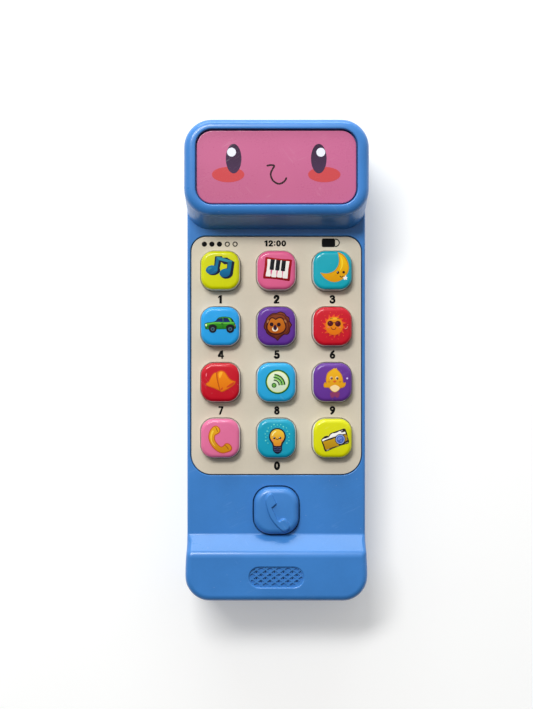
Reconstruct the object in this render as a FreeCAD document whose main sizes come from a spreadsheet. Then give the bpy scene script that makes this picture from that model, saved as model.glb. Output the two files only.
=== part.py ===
import FreeCAD, Part
import math
import os
import Sketcher

# ---------------------------------------------------------------------------
# Toy cell phone, lying on its back: +X to the right of the face, +Y towards
# the head end, +Z up out of the keypad.  Origin: centre of the bottom of the
# bounding box, on the flat back.  All lengths in millimetres.
# ---------------------------------------------------------------------------

os.makedirs("parts", exist_ok=True)

V = FreeCAD.Vector
doc = FreeCAD.newDocument("toy_cell_phone")
sheet = doc.addObject("Spreadsheet::Sheet", "dims")


class Dim:
    """A length that knows its number and its spreadsheet expression."""

    def __init__(self, value, text):
        self.value = float(value)
        self.text = text

    def _mix(self, other, sign, swap=False):
        ov, ot = (other.value, other.text) if isinstance(other, Dim) else (float(other), repr(float(other)))
        a, b, ta, tb = (ov, self.value, ot, self.text) if swap else (self.value, ov, self.text, ot)
        value = {"+": a + b, "-": a - b, "*": a * b, "/": a / b if b else 0.0}[sign]
        return Dim(value, "(%s %s %s)" % (ta, sign, tb))

    def __add__(self, o): return self._mix(o, "+")
    def __radd__(self, o): return self._mix(o, "+", True)
    def __sub__(self, o): return self._mix(o, "-")
    def __rsub__(self, o): return self._mix(o, "-", True)
    def __mul__(self, o): return self._mix(o, "*")
    def __rmul__(self, o): return self._mix(o, "*", True)
    def __truediv__(self, o): return self._mix(o, "/")
    def __neg__(self): return Dim(-self.value, "(0 - %s)" % self.text)


row = [0]


def dim(alias, value):
    """One driving dimension: a plain number in the sheet with a word alias."""
    row[0] += 1
    cell = "A%d" % row[0]
    sheet.set(cell, repr(float(value)))
    sheet.setAlias(cell, alias)
    return Dim(value, "dims." + alias)


def val(a):
    return a.value if isinstance(a, Dim) else float(a)


def neg(a):
    return -a


def bind(obj, prop, a):
    """Drive a property from the sheet (or set it, when it is a plain number)."""
    if isinstance(a, Dim):
        obj.setExpression(prop, a.text)
    elif "." in prop or "[" in prop:
        obj.setExpression(prop, repr(float(a)))
    else:
        setattr(obj, prop, float(a))


# --- driving dimensions ------------------------------------------------------
overall_length = dim("overall_length", 160.0)
end_width = dim("end_width", 61.0)
waist_width = dim("waist_width", 60.2)
overall_height = dim("overall_height", 30.0)
parting_height = dim("parting_height", 9.0)
deck_height = dim("deck_height", 18.0)
block_height = dim("block_height", 23.0)
head_corner = dim("head_corner", 9.2)
tail_corner = dim("tail_corner", 8.3)
wall_thickness = dim("wall_thickness", 1.8)
cavity_half_width = dim("cavity_half_width", 28.2)
cavity_end = dim("cavity_end", 78.0)
deck_edge_round = dim("deck_edge_round", 1.0)
block_edge_round = dim("block_edge_round", 2.1)
back_edge_round = dim("back_edge_round", 3.0)
lip_round = dim("lip_round", 0.45)
recess_round = dim("recess_round", 0.3)
seam_chamfer = dim("seam_chamfer", 0.3)
waist_end_station = dim("waist_end_station", 60.0)
waist_sweep_radius = dim("waist_sweep_radius", 75.7)

head_foot_station = dim("head_foot_station", 44.8)
head_rim_station = dim("head_rim_station", 48.0)
head_foot_corner = dim("head_foot_corner", 7.5)
head_rim_corner = dim("head_rim_corner", 9.0)
head_rim_height = dim("head_rim_height", 27.0)
head_rim_round = dim("head_rim_round", 2.9)
window_width = dim("window_width", 53.3)
window_length = dim("window_length", 24.8)
window_corner = dim("window_corner", 5.5)
face_centre = dim("face_centre", 64.1)
face_panel_width = dim("face_panel_width", 52.5)
face_panel_length = dim("face_panel_length", 24.0)
face_panel_corner = dim("face_panel_corner", 5.1)
face_panel_thickness = dim("face_panel_thickness", 1.5)
face_panel_top = dim("face_panel_top", 29.0)

slope_foot_station = dim("slope_foot_station", -58.2)
slope_crest_station = dim("slope_crest_station", -64.1)
slope_foot_round = dim("slope_foot_round", 1.0)
slope_crest_round = dim("slope_crest_round", 3.4)

panel_width = dim("panel_width", 57.4)
panel_top_station = dim("panel_top_station", 42.3)
panel_bottom_station = dim("panel_bottom_station", -38.0)
panel_top_corner = dim("panel_top_corner", 5.0)
panel_bottom_corner = dim("panel_bottom_corner", 6.8)
panel_underside = dim("panel_underside", 15.9)
panel_surface = dim("panel_surface", 17.8)
panel_gap = dim("panel_gap", 0.3)
ledge_underside = dim("ledge_underside", 14.2)

key_pitch = dim("key_pitch", 18.8)
key_width = dim("key_width", 13.4)
key_corner = dim("key_corner", 4.4)
key_hole_width = dim("key_hole_width", 13.7)
key_top = dim("key_top", 21.3)
key_edge_round = dim("key_edge_round", 1.9)
key_wall = dim("key_wall", 1.4)
key_first_row = dim("key_first_row", -25.7)
flange_margin = dim("flange_margin", 0.8)
flange_underside = dim("flange_underside", 14.8)
flange_thickness = dim("flange_thickness", 1.0)
stem_diameter = dim("stem_diameter", 4.0)
stem_bottom = dim("stem_bottom", 13.5)

call_station = dim("call_station", -50.1)
call_width = dim("call_width", 15.2)
call_length = dim("call_length", 16.0)
call_corner = dim("call_corner", 5.6)
call_gap = dim("call_gap", 0.4)
call_top = dim("call_top", 21.0)
call_edge_round = dim("call_edge_round", 1.7)
emboss_height = dim("emboss_height", 0.45)

board_underside = dim("board_underside", 8.8)
board_thickness = dim("board_thickness", 1.2)
board_width = dim("board_width", 55.2)
mat_thickness = dim("mat_thickness", 1.0)
dome_height = dim("dome_height", 2.4)
post_diameter = dim("post_diameter", 4.4)

cell_diameter = dim("cell_diameter", 10.5)
cell_length = dim("cell_length", 44.5)
cell_axis_height = dim("cell_axis_height", 8.0)
cell_low_station = dim("cell_low_station", 56.55)
cell_high_station = dim("cell_high_station", 68.25)
box_half_width = dim("box_half_width", 24.6)
box_wall = dim("box_wall", 1.3)
door_axis_station = dim("door_axis_station", 75.65)
door_axis_height = dim("door_axis_height", 0.7)
door_half_thickness = dim("door_half_thickness", 0.55)
door_half_width = dim("door_half_width", 25.9)
door_ear_station = dim("door_ear_station", 46.8)

screw_station_head = dim("screw_station_head", 44.6)
screw_station_middle = dim("screw_station_middle", -45.0)
screw_station_tail = dim("screw_station_tail", -71.0)
screw_offset = dim("screw_offset", 24.0)
screw_offset_tail = dim("screw_offset_tail", 22.5)

grille_station = dim("grille_station", -71.9)
grille_width = dim("grille_width", 18.2)
grille_length = dim("grille_length", 6.7)
grille_recess = dim("grille_recess", 0.5)
grille_lip = dim("grille_lip", 0.45)
grille_depth = dim("grille_depth", 0.5)
grille_pitch = dim("grille_pitch", 3.0)
grille_row = dim("grille_row", 1.04)
grille_lattice_across = dim("grille_lattice_across", 0.9)
grille_lattice_along = dim("grille_lattice_along", 0.53)
grille_hole_diameter = dim("grille_hole_diameter", 0.45)
speaker_station = dim("speaker_station", -69.5)
speaker_diameter = dim("speaker_diameter", 16.0)
switch_station = dim("switch_station", 14.0)
switch_travel = dim("switch_travel", 2.5)
doc.recompute()

ORIGIN_ROLE = {"XY": "XY_Plane", "YZ": "YZ_Plane", "XZ": "XZ_Plane"}


# --- PartDesign helpers -------------------------------------------------------
def new_body(label):
    return doc.addObject("PartDesign::Body", label)


def new_sketch(body, name, plane="XY", offset=0.0):
    sk = body.newObject("Sketcher::SketchObject", name)
    support = [o for o in body.Origin.OriginFeatures if o.Role == ORIGIN_ROLE[plane]][0]
    sk.AttachmentSupport = [(support, "")]
    sk.MapMode = "FlatFace"
    sk.AttachmentOffset = FreeCAD.Placement(V(0, 0, val(offset)), FreeCAD.Rotation())
    if isinstance(offset, Dim):
        sk.setExpression("AttachmentOffset.Base.z", offset.text)
    return sk


def constrain(sk, a, *args):
    """Add a dimensional constraint and bind it to the sheet."""
    i = sk.addConstraint(Sketcher.Constraint(*args, abs(val(a))))
    if isinstance(a, Dim):
        text = a.text if a.value >= 0 else "(0 - %s)" % a.text
        sk.setExpression("Constraints[%d]" % i, text)
    return i


def place_point(sk, geo, pos, x=None, y=None):
    """Locate one sketch point from the sketch origin, by signed distances."""
    if x is not None:
        if abs(val(x)) < 1e-9:
            sk.addConstraint(Sketcher.Constraint("PointOnObject", geo, pos, -2))
        elif val(x) > 0:
            constrain(sk, x, "DistanceX", -1, 1, geo, pos)
        else:
            constrain(sk, x, "DistanceX", geo, pos, -1, 1)
    if y is not None:
        if abs(val(y)) < 1e-9:
            sk.addConstraint(Sketcher.Constraint("PointOnObject", geo, pos, -1))
        elif val(y) > 0:
            constrain(sk, y, "DistanceY", -1, 1, geo, pos)
        else:
            constrain(sk, y, "DistanceY", geo, pos, -1, 1)


def seg(a, b):
    return Part.LineSegment(V(a[0], a[1], 0), V(b[0], b[1], 0))


def arc(cx, cy, r, a0, a1):
    c = Part.Circle(V(cx, cy, 0), V(0, 0, 1), r)
    return Part.ArcOfCircle(c, math.radians(a0), math.radians(a1))


def chain(sk, geos, tangent=True):
    """A closed loop: every piece joined to the next, tangent where asked."""
    sk.addGeometry(geos, False)
    n = len(geos)
    for i in range(n):
        j = (i + 1) % n
        best = min(((geos[i].StartPoint if p == 1 else geos[i].EndPoint)
                    .distanceToPoint(geos[j].StartPoint if q == 1 else geos[j].EndPoint), p, q)
                   for p in (1, 2) for q in (1, 2))
        kind = "Tangent" if tangent else "Coincident"
        sk.addConstraint(Sketcher.Constraint(kind, i, best[1], j, best[2]))


def rounded(sk, x0, x1, y0, y1, r_low, r_high=None):
    """Rounded rectangle, its low-Y corners and high-Y corners each with a radius."""
    r_high = r_low if r_high is None else r_high
    a, b, c, d, rl, rh = val(x0), val(x1), val(y0), val(y1), val(r_low), val(r_high)
    geos = [seg((a + rl, c), (b - rl, c)), arc(b - rl, c + rl, rl, 270, 360),
            seg((b, c + rl), (b, d - rh)), arc(b - rh, d - rh, rh, 0, 90),
            seg((b - rh, d), (a + rh, d)), arc(a + rh, d - rh, rh, 90, 180),
            seg((a, d - rh), (a, c + rl)), arc(a + rl, c + rl, rl, 180, 270)]
    chain(sk, geos)
    for g in (0, 4):
        sk.addConstraint(Sketcher.Constraint("Horizontal", g))
    for g in (2, 6):
        sk.addConstraint(Sketcher.Constraint("Vertical", g))
    for g in (1, 7):
        constrain(sk, r_low, "Radius", g)
    for g in (3, 5):
        constrain(sk, r_high, "Radius", g)
    place_point(sk, 6, 1, x=x0)
    place_point(sk, 2, 1, x=x1)
    place_point(sk, 0, 1, y=y0)
    place_point(sk, 4, 1, y=y1)


def rounded_centred(sk, cx, cy, w, l, r):
    if not isinstance(w, Dim):
        w = Dim(w, repr(float(w)))
    if not isinstance(l, Dim):
        l = Dim(l, repr(float(l)))
    rounded(sk, cx - w / 2, cx + w / 2, cy - l / 2, cy + l / 2, r)


def polygon(sk, pts):
    """Closed straight-sided profile with every corner driven by the sheet."""
    flat = [(val(p[0]), val(p[1])) for p in pts]
    geos = [seg(flat[i], flat[(i + 1) % len(flat)]) for i in range(len(flat))]
    chain(sk, geos, tangent=False)
    for i, p in enumerate(pts):
        place_point(sk, i, 1, x=p[0], y=p[1])


def circle(sk, cx, cy, dia, index=0):
    sk.addGeometry(Part.Circle(V(val(cx), val(cy), 0), V(0, 0, 1), val(dia) / 2), False)
    constrain(sk, dia / 2 if isinstance(dia, Dim) else dia / 2.0, "Radius", index)
    place_point(sk, index, 3, x=cx, y=cy)


def pad(body, name, sk, length, reverse=False, symmetric=False):
    p = body.newObject("PartDesign::Pad", name)
    p.Profile = sk
    if symmetric:
        p.SideType = "Symmetric"
    p.Reversed = reverse
    bind(p, "Length", length)
    return p


def pocket(body, name, sk, length, upward=True):
    p = body.newObject("PartDesign::Pocket", name)
    p.Profile = sk
    p.Reversed = upward
    bind(p, "Length", length)
    return p


def edges_where(shape, test):
    found = []
    for i, e in enumerate(shape.Edges):
        bb = e.BoundBox
        if test(e, bb):
            found.append(i + 1)
    return found


def pd_fillet(body, name, base, radius, test):
    doc.recompute()
    f = body.newObject("PartDesign::Fillet", name)
    f.Base = (base, ["Edge%d" % i for i in edges_where(base.Shape, test)])
    bind(f, "Radius", radius)
    return f


def pd_chamfer(body, name, base, size, test):
    doc.recompute()
    f = body.newObject("PartDesign::Chamfer", name)
    f.Base = (base, ["Edge%d" % i for i in edges_where(base.Shape, test)])
    bind(f, "Size", size)
    return f


def level(z, tol=1e-4):
    return lambda e, bb: abs(bb.ZMin - z) < tol and abs(bb.ZMax - z) < tol


# --- Part helpers ---------------------------------------------------------------
def block(label, x0, x1, y0, y1, z0, z1):
    b = doc.addObject("Part::Box", label)
    bind(b, "Length", x1 - x0)
    bind(b, "Width", y1 - y0)
    bind(b, "Height", z1 - z0)
    for k, a in (("x", x0), ("y", y0), ("z", z0)):
        bind(b, "Placement.Base." + k, a)
    return b


def rod(label, x, y, z0, z1, dia):
    c = doc.addObject("Part::Cylinder", label)
    bind(c, "Radius", dia / 2)
    bind(c, "Height", z1 - z0)
    for k, a in (("x", x), ("y", y), ("z", z0)):
        bind(c, "Placement.Base." + k, a)
    return c


def rod_x(label, x0, x1, y, z, dia):
    c = doc.addObject("Part::Cylinder", label)
    bind(c, "Radius", dia / 2)
    bind(c, "Height", x1 - x0)
    c.Placement = FreeCAD.Placement(V(0, 0, 0), FreeCAD.Rotation(V(0, 1, 0), 90))
    for k, a in (("x", x0), ("y", y), ("z", z)):
        bind(c, "Placement.Base." + k, a)
    return c


def taper(label, x, y, z0, z1, d0, d1):
    c = doc.addObject("Part::Cone", label)
    bind(c, "Radius1", d0 / 2)
    bind(c, "Radius2", d1 / 2)
    bind(c, "Height", z1 - z0)
    for k, a in (("x", x), ("y", y), ("z", z0)):
        bind(c, "Placement.Base." + k, a)
    return c


def fuse(label, objs):
    o = doc.addObject("Part::MultiFuse", label)
    o.Shapes = list(objs)
    o.Refine = True
    return o


def cut(label, base, tool):
    o = doc.addObject("Part::Cut", label)
    o.Base = base
    o.Tool = tool
    o.Refine = True
    return o


def common(label, a, b):
    o = doc.addObject("Part::Common", label)
    o.Base = a
    o.Tool = b
    return o


def group(label, objs):
    o = doc.addObject("Part::Compound", label)
    o.Links = list(objs)
    return o


def part_edges(label, kind, base, size, test):
    doc.recompute()
    o = doc.addObject("Part::" + kind, label)
    o.Base = base
    o.Edges = [(i, val(size), val(size)) for i in edges_where(base.Shape, test)]
    return o


def feature(label, shape):
    o = doc.addObject("Part::Feature", label)
    o.Shape = shape
    o.Placement = FreeCAD.Placement(V(0, 0, 0), FreeCAD.Rotation())
    return o


nodes = []


def node(obj):
    nodes.append(obj)
    return obj


# --- outline shared by both shells -------------------------------------------------
half_length = overall_length / 2
half_waist = waist_width / 2
half_end = end_width / 2


def outline(sk):
    """Plan outline: straight waist, small sweep out to the wider tail, round corners."""
    L, W, E = val(half_length), val(half_waist), val(half_end)
    rh, rt, rs = val(head_corner), val(tail_corner), val(waist_sweep_radius)
    ys = -val(waist_end_station)
    d = E - W
    run = math.sqrt(4 * d * rs - d * d)
    half = math.degrees(math.asin(run / 2 / rs))
    ye = ys - run
    geos = [seg((W - rh, L), (-(W - rh), L)),
            arc(-(W - rh), L - rh, rh, 90, 180),
            seg((-W, L - rh), (-W, ys)),
            arc(-(W + rs), ys, rs, -half, 0),
            arc(-(E - rs), ye, rs, 180 - half, 180),
            seg((-E, ye), (-E, -L + rt)),
            arc(-(E - rt), -L + rt, rt, 180, 270),
            seg((-(E - rt), -L), (E - rt, -L)),
            arc(E - rt, -L + rt, rt, 270, 360),
            seg((E, -L + rt), (E, ye)),
            arc(E - rs, ye, rs, 0, half),
            arc(W + rs, ys, rs, 180, 180 + half),
            seg((W, ys), (W, L - rh)),
            arc(W - rh, L - rh, rh, 0, 90)]
    chain(sk, geos)
    for g in (0, 7):
        sk.addConstraint(Sketcher.Constraint("Horizontal", g))
    for g in (2, 5, 9, 12):
        sk.addConstraint(Sketcher.Constraint("Vertical", g))
    for g in (1, 13):
        constrain(sk, head_corner, "Radius", g)
    for g in (6, 8):
        constrain(sk, tail_corner, "Radius", g)
    for g in (3, 4, 10, 11):
        constrain(sk, waist_sweep_radius, "Radius", g)
    place_point(sk, 0, 1, y=half_length)
    place_point(sk, 7, 1, y=-half_length)
    place_point(sk, 2, 1, x=-half_waist)
    place_point(sk, 2, 2, y=-waist_end_station)
    place_point(sk, 12, 1, x=half_waist, y=-waist_end_station)
    place_point(sk, 5, 1, x=-half_end)
    place_point(sk, 9, 1, x=half_end)


# --- front shell -------------------------------------------------------------------
plan = new_body("front_plan")
sk = new_sketch(plan, "front_plan_outline", offset=parting_height)
outline(sk)
pad(plan, "front_plan_pad", sk, block_height - parting_height)

side = new_body("front_side")
sk = new_sketch(side, "front_side_profile", "YZ")
polygon(sk, [(half_length + 2, parting_height - 2), (half_length + 2, deck_height),
             (slope_foot_station, deck_height), (slope_crest_station, block_height),
             (-half_length - 2, block_height), (-half_length - 2, parting_height - 2)])
side_pad = pad(side, "front_side_pad", sk, end_width + 6, symmetric=True)


def straight_x(y, z):
    return lambda e, bb: bb.XLength > 20 and abs(bb.YMin - y) < 1e-3 and abs(bb.ZMin - z) < 1e-3


f1 = pd_fillet(side, "slope_foot_fillet", side_pad, slope_foot_round,
               straight_x(val(slope_foot_station), val(deck_height)))
pd_fillet(side, "slope_crest_fillet", f1, slope_crest_round,
          straight_x(val(slope_crest_station), val(block_height)))
low_form = common("front_low_form", plan, side)
# one smooth round along the whole top edge: small on the deck, growing up the slope, larger on the tail block
doc.recompute()
low_soft = doc.addObject("Part::Fillet", "front_low_soft")
low_soft.Base = low_form
rows = []
for i in edges_where(low_form.Shape, lambda e, bb: bb.ZMin > val(deck_height) - 1e-3 and not
                     (bb.XLength > 20 and bb.YMin > -79.0 and bb.YMax < 79.0)):
    ends = low_form.Shape.Edges[i - 1].Vertexes
    radii = []
    for v in (ends[0], ends[-1]):
        climb = (v.Point.z - val(deck_height)) / (val(block_height) - val(deck_height))
        radii.append(val(deck_edge_round) + (val(block_edge_round) - val(deck_edge_round)) * min(max(climb, 0), 1))
    rows.append((i, radii[0], radii[1]))
low_soft.Edges = rows
low_done = part_edges("front_low_seam", "Chamfer", low_soft, seam_chamfer, level(val(parting_height)))

head = new_body("head_form")
sk = new_sketch(head, "head_foot_outline", offset=parting_height + 1)
rounded(sk, -half_waist, half_waist, head_foot_station, half_length, head_foot_corner, head_corner)
pad(head, "head_foot_pad", sk, deck_height - parting_height - 1)
lo = new_sketch(head, "head_loft_low", offset=deck_height)
rounded(lo, -half_waist, half_waist, head_foot_station, half_length, head_foot_corner, head_corner)
hi = new_sketch(head, "head_loft_high", offset=head_rim_height)
rounded(hi, -half_end, half_end, head_rim_station, half_length, head_rim_corner, head_corner)
doc.recompute()
loft = head.newObject("PartDesign::AdditiveLoft", "head_loft")
loft.Profile = lo
loft.Sections = [hi]
loft.Ruled = True
sk = new_sketch(head, "head_rim_outline", offset=head_rim_height)
rounded(sk, -half_end, half_end, head_rim_station, half_length, head_rim_corner, head_corner)
rim = pad(head, "head_rim_pad", sk, overall_height - head_rim_height)
pd_fillet(head, "head_rim_fillet", rim, head_rim_round, level(val(overall_height)))
front_outer = fuse("front_outer", [low_done, head])

cav_plan = new_body("cavity_plan")
sk = new_sketch(cav_plan, "cavity_outline", offset=parting_height - 0.5)
rounded(sk, -cavity_half_width, cavity_half_width, -cavity_end, cavity_end, 6.5)
pad(cav_plan, "cavity_plan_pad", sk, block_height - parting_height)
cav_side = new_body("cavity_side")
sk = new_sketch(cav_side, "cavity_profile", "YZ")
deck_under = deck_height - wall_thickness
polygon(sk, [(cavity_end + 2, parting_height - 2), (cavity_end + 2, ledge_underside),
             (-41.0, ledge_underside), (-41.0, deck_under), (slope_foot_station - 2.8, deck_under),
             (slope_crest_station - 2.0, block_height - wall_thickness),
             (-cavity_end - 2, block_height - wall_thickness), (-cavity_end - 2, parting_height - 2)])
pad(cav_side, "cavity_side_pad", sk, 70.0, symmetric=True)
cavity_low = common("front_cavity_low", cav_plan, cav_side)
cav_head = new_body("cavity_head")
lo = new_sketch(cav_head, "cavity_head_low", offset=ledge_underside - 0.2)
rounded(lo, -cavity_half_width, cavity_half_width, 46.2, cavity_end, 5.5, 6.5)
hi = new_sketch(cav_head, "cavity_head_high", offset=25.7)
rounded(hi, -cavity_half_width, cavity_half_width, 50.1, cavity_end, 6.5)
doc.recompute()
loft = cav_head.newObject("PartDesign::AdditiveLoft", "cavity_head_loft")
loft.Profile = lo
loft.Sections = [hi]
loft.Ruled = True


def slab_tool(label, cx, cy, w, l, r, z0, z1, r_high=None):
    b = new_body(label)
    s = new_sketch(b, label + "_outline", offset=z0)
    if not isinstance(w, Dim):
        w = Dim(w, repr(float(w)))
    if not isinstance(l, Dim):
        l = Dim(l, repr(float(l)))
    rounded(s, cx - w / 2, cx + w / 2, cy - l / 2, cy + l / 2, r, r_high)
    pad(b, label + "_pad", s, z1 - z0)
    return b


window = slab_tool("face_window", 0, face_centre, window_width, window_length, window_corner,
                   face_panel_top - face_panel_thickness, 31.0)
window_light = slab_tool("face_light_opening", 0, face_centre, 49.0, 20.5, 3.5, 25.0, 28.0)
panel_mid = (panel_top_station + panel_bottom_station) / 2
panel_length = panel_top_station - panel_bottom_station
recess = slab_tool("keypad_recess", 0, panel_mid, panel_width + panel_gap * 2, panel_length + panel_gap * 2,
                   panel_bottom_corner + panel_gap, panel_underside, 18.6, panel_top_corner + panel_gap)
keypad_opening = slab_tool("keypad_opening", 0, panel_mid, 53.5, 76.5, 4.0, 13.0, 16.5)
call_hole = slab_tool("call_hole", 0, call_station, call_width + call_gap * 2, call_length + call_gap * 2,
                      call_corner + call_gap, 15.0, 22.0)

# Sound grille: a shallow recess with a diamond lattice at its bottom, and fine holes at the pockets' floors
gx, gy = val(grille_pitch), val(grille_row)
reach = (gx / 2) * gy / math.hypot(gx / 2, gy)
shrink = (reach - 0.235) / reach
pa, pb = gx / 2 * shrink, gy * shrink
gw, gl, gyc = val(grille_width), val(grille_length), val(grille_station)
ztop = val(block_height)
zlattice = ztop - val(grille_recess)
zfloor = zlattice - val(grille_depth)


def stadium_face(w, l, cy, z):
    r = l / 2
    x = w / 2 - r
    e = [Part.LineSegment(V(-x, cy - r, z), V(x, cy - r, z)).toShape(),
         Part.Arc(V(x, cy - r, z), V(x + r, cy, z), V(x, cy + r, z)).toShape(),
         Part.LineSegment(V(x, cy + r, z), V(-x, cy + r, z)).toShape(),
         Part.Arc(V(-x, cy + r, z), V(-x - r, cy, z), V(-x, cy - r, z)).toShape()]
    return Part.Face(Part.Wire(e))


grille_room = feature("grille_recess_room", stadium_face(gw, gl, gyc, zlattice).extrude(V(0, 0, 2.0)))
clip = stadium_face(gw - 0.5, gl - 0.5, gyc, zfloor).extrude(V(0, 0, 2.0))
ax, ay = val(grille_lattice_across), val(grille_lattice_along)
hole_radius = val(grille_hole_diameter) / 2
diamonds = []
sound_holes = []
for j in range(-4, 5):
    for i in range(-4, 5):
        cx = ax + i * gx + (gx / 2 if j % 2 else 0.0)
        cy = gyc + ay + j * gy
        if abs(cx) > gw / 2 + 0.4:
            continue
        w = Part.makePolygon([V(cx - pa, cy, zfloor), V(cx, cy - pb, zfloor), V(cx + pa, cy, zfloor),
                              V(cx, cy + pb, zfloor), V(cx - pa, cy, zfloor)])
        piece = Part.Face(w).extrude(V(0, 0, 2.0)).common(clip)
        for s in piece.Solids:
            if s.Volume > 0.12:
                diamonds.append(s)
        if abs(cy - gyc) < 2.0 and abs(cx) < 7.2:
            sound_holes.append(Part.makeCylinder(hole_radius, 3.0, V(cx, cy, zfloor - 2.0)))
grille_pockets = feature("grille_pockets", Part.makeCompound(diamonds))
grille_holes = feature("grille_holes", Part.makeCompound(sound_holes))

front_hollow = cut("front_hollow", front_outer,
                   fuse("front_hollows", [cavity_low, cav_head, window, window_light, recess,
                                          keypad_opening, call_hole]))
front_lipped = part_edges("front_window_lip", "Fillet", front_hollow, lip_round,
                          lambda e, bb: level(val(overall_height))(e, bb)
                          and bb.XMax < val(window_width) / 2 + 0.1 and bb.XMin > -val(window_width) / 2 - 0.1)
front_lipped = part_edges("front_recess_lip", "Fillet", front_lipped, recess_round,
                          lambda e, bb: level(val(deck_height))(e, bb)
                          and abs(bb.XMax) < val(panel_width) / 2 + 0.4 and abs(bb.XMin) < val(panel_width) / 2 + 0.4
                          and bb.YMin > -39.0 and bb.YMax < 43.0)
sx, sxt = screw_offset, screw_offset_tail
screw_spots = [(sx, screw_station_head), (-sx, screw_station_head), (sx, screw_station_middle),
               (-sx, screw_station_middle), (sxt, screw_station_tail), (-sxt, screw_station_tail)]
adds = [front_lipped]
for n, (x, y) in enumerate(screw_spots):
    top = val(ledge_underside) + 0.3 if n < 2 else (16.6 if n < 4 else 21.6)
    adds.append(rod("front_boss_%d" % (n + 1), x, y, parting_height, top, 6.0))
for n, x in enumerate((26.2, -26.2)):
    adds.append(rod("lamp_boss_%d" % (n + 1), x, face_centre, 18.0, 25.9, 4.4))
for n, (x0, x1) in enumerate(((26.9, 28.4), (-28.4, -26.9))):
    for k, (y0, y1) in enumerate(((-30.0, -12.0), (12.0, 34.0))):
        adds.append(block("board_rib_%d" % (2 * n + k + 1), x0, x1, y0, y1,
                          board_underside + board_thickness, 14.4))
ring = cut("speaker_ring", rod("speaker_ring_outer", 0, speaker_station, 16.5, 22.0, 18.0),
           rod("speaker_ring_inner", 0, speaker_station, 16.0, 21.2, 15.2))
ring_in = common("speaker_ring_clipped", ring, low_form)
adds.append(ring_in)
front_filled = fuse("front_filled", adds)
bores = []
for n, (x, y) in enumerate(screw_spots):
    bores.append(rod("front_bore_%d" % (n + 1), x, y, 8.0, 13.9, 2.7))
for n, x in enumerate((26.2, -26.2)):
    bores.append(rod("lamp_bore_%d" % (n + 1), x, face_centre, 17.0, 22.0, 1.9))
front_bored = cut("front_bored", front_filled, fuse("front_bores", bores))
front_recessed = cut("front_recessed", front_bored, grille_room)
front_recessed = part_edges("front_grille_lip", "Fillet", front_recessed, grille_lip,
                            lambda e, bb: level(val(block_height))(e, bb) and abs(bb.XMax) < val(grille_width) / 2 + 0.1
                            and abs(bb.XMin) < val(grille_width) / 2 + 0.1
                            and bb.YMin > -76.0 and bb.YMax < -68.0)
front_pocketed = cut("front_pocketed", front_recessed, grille_pockets)
front_shell = node(cut("front_shell", front_pocketed, grille_holes))

# --- rear shell ----------------------------------------------------------------------
tray = new_body("rear_tray")
sk = new_sketch(tray, "rear_outline")
outline(sk)
tray_pad = pad(tray, "rear_pad", sk, parting_height)
tray_f = pd_fillet(tray, "back_edge_fillet", tray_pad, back_edge_round, level(0.0))
tray_c = pd_chamfer(tray, "rear_seam_chamfer", tray_f, seam_chamfer, level(val(parting_height)))
sk = new_sketch(tray, "rear_cavity_outline", offset=wall_thickness)
rounded(sk, -cavity_half_width, cavity_half_width, -cavity_end, cavity_end, 6.5)
pocket(tray, "rear_cavity", sk, parting_height)

rear_adds = [tray]
for n, (x, y) in enumerate(screw_spots):
    rear_adds.append(rod("rear_boss_%d" % (n + 1), x, y, 1.0, parting_height, 7.0))
bx = box_half_width
rear_adds.append(block("battery_box_outer", -bx - box_wall, bx + box_wall, 49.8, 75.0, 1.0, 15.1))
rear_adds.append(rod("door_boss_wide", 0, door_ear_station, 1.0, 4.2, 10.0))
rear_adds.append(rod("door_boss_narrow", 0, door_ear_station, 4.0, 7.6, 6.0))
for n, x in enumerate((6.7, -6.7)):
    rear_adds.append(rod("switch_post_%d" % (n + 1), x, switch_station, 1.2, 3.8, 3.4))
rear_solid = fuse("rear_solid", rear_adds)
tools = [block("battery_room", -bx, bx, 51.0, 73.8, -1.0, 13.9),
         block("door_recess", -door_half_width - 0.3, door_half_width + 0.3, 49.9, 76.5, -1.0, 1.3),
         rod("door_ear_recess", 0, door_ear_station, -1.0, 2.9, 7.8),
         rod("door_screw_bore", 0, door_ear_station, 2.0, 6.6, 2.8)]
for n, x in enumerate((14.0, -14.0)):
    tools.append(block("door_tab_pocket_%d" % (n + 1), x - 3.4, x + 3.4, 75.15, 77.5, 0.25, 2.6))
for n, (x, y) in enumerate(screw_spots):
    tools.append(rod("rear_counterbore_%d" % (n + 1), x, y, -1.0, 3.8, 5.2))
    tools.append(rod("rear_through_%d" % (n + 1), x, y, 3.0, 10.0, 3.0))
for n, x in enumerate((6.7, -6.7)):
    tools.append(rod("switch_post_bore_%d" % (n + 1), x, switch_station, 2.0, 4.5, 1.7))
for n, y in enumerate((cell_low_station, cell_high_station)):
    tools.append(block("contact_slot_%d" % (n + 1), 24.5, 26.4, y - 1.1, y + 1.1, 7.6, 8.6))
tools.append(slab_tool("switch_dish", 0, switch_station, 13.0, 7.0, 3.0, -1.0, 0.6))
tools.append(slab_tool("switch_slot", 0, switch_station, 7.8, 3.6, 1.0, -1.0, 2.2))
rear_shell = node(cut("rear_shell", rear_solid, fuse("rear_tools", tools)))

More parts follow.
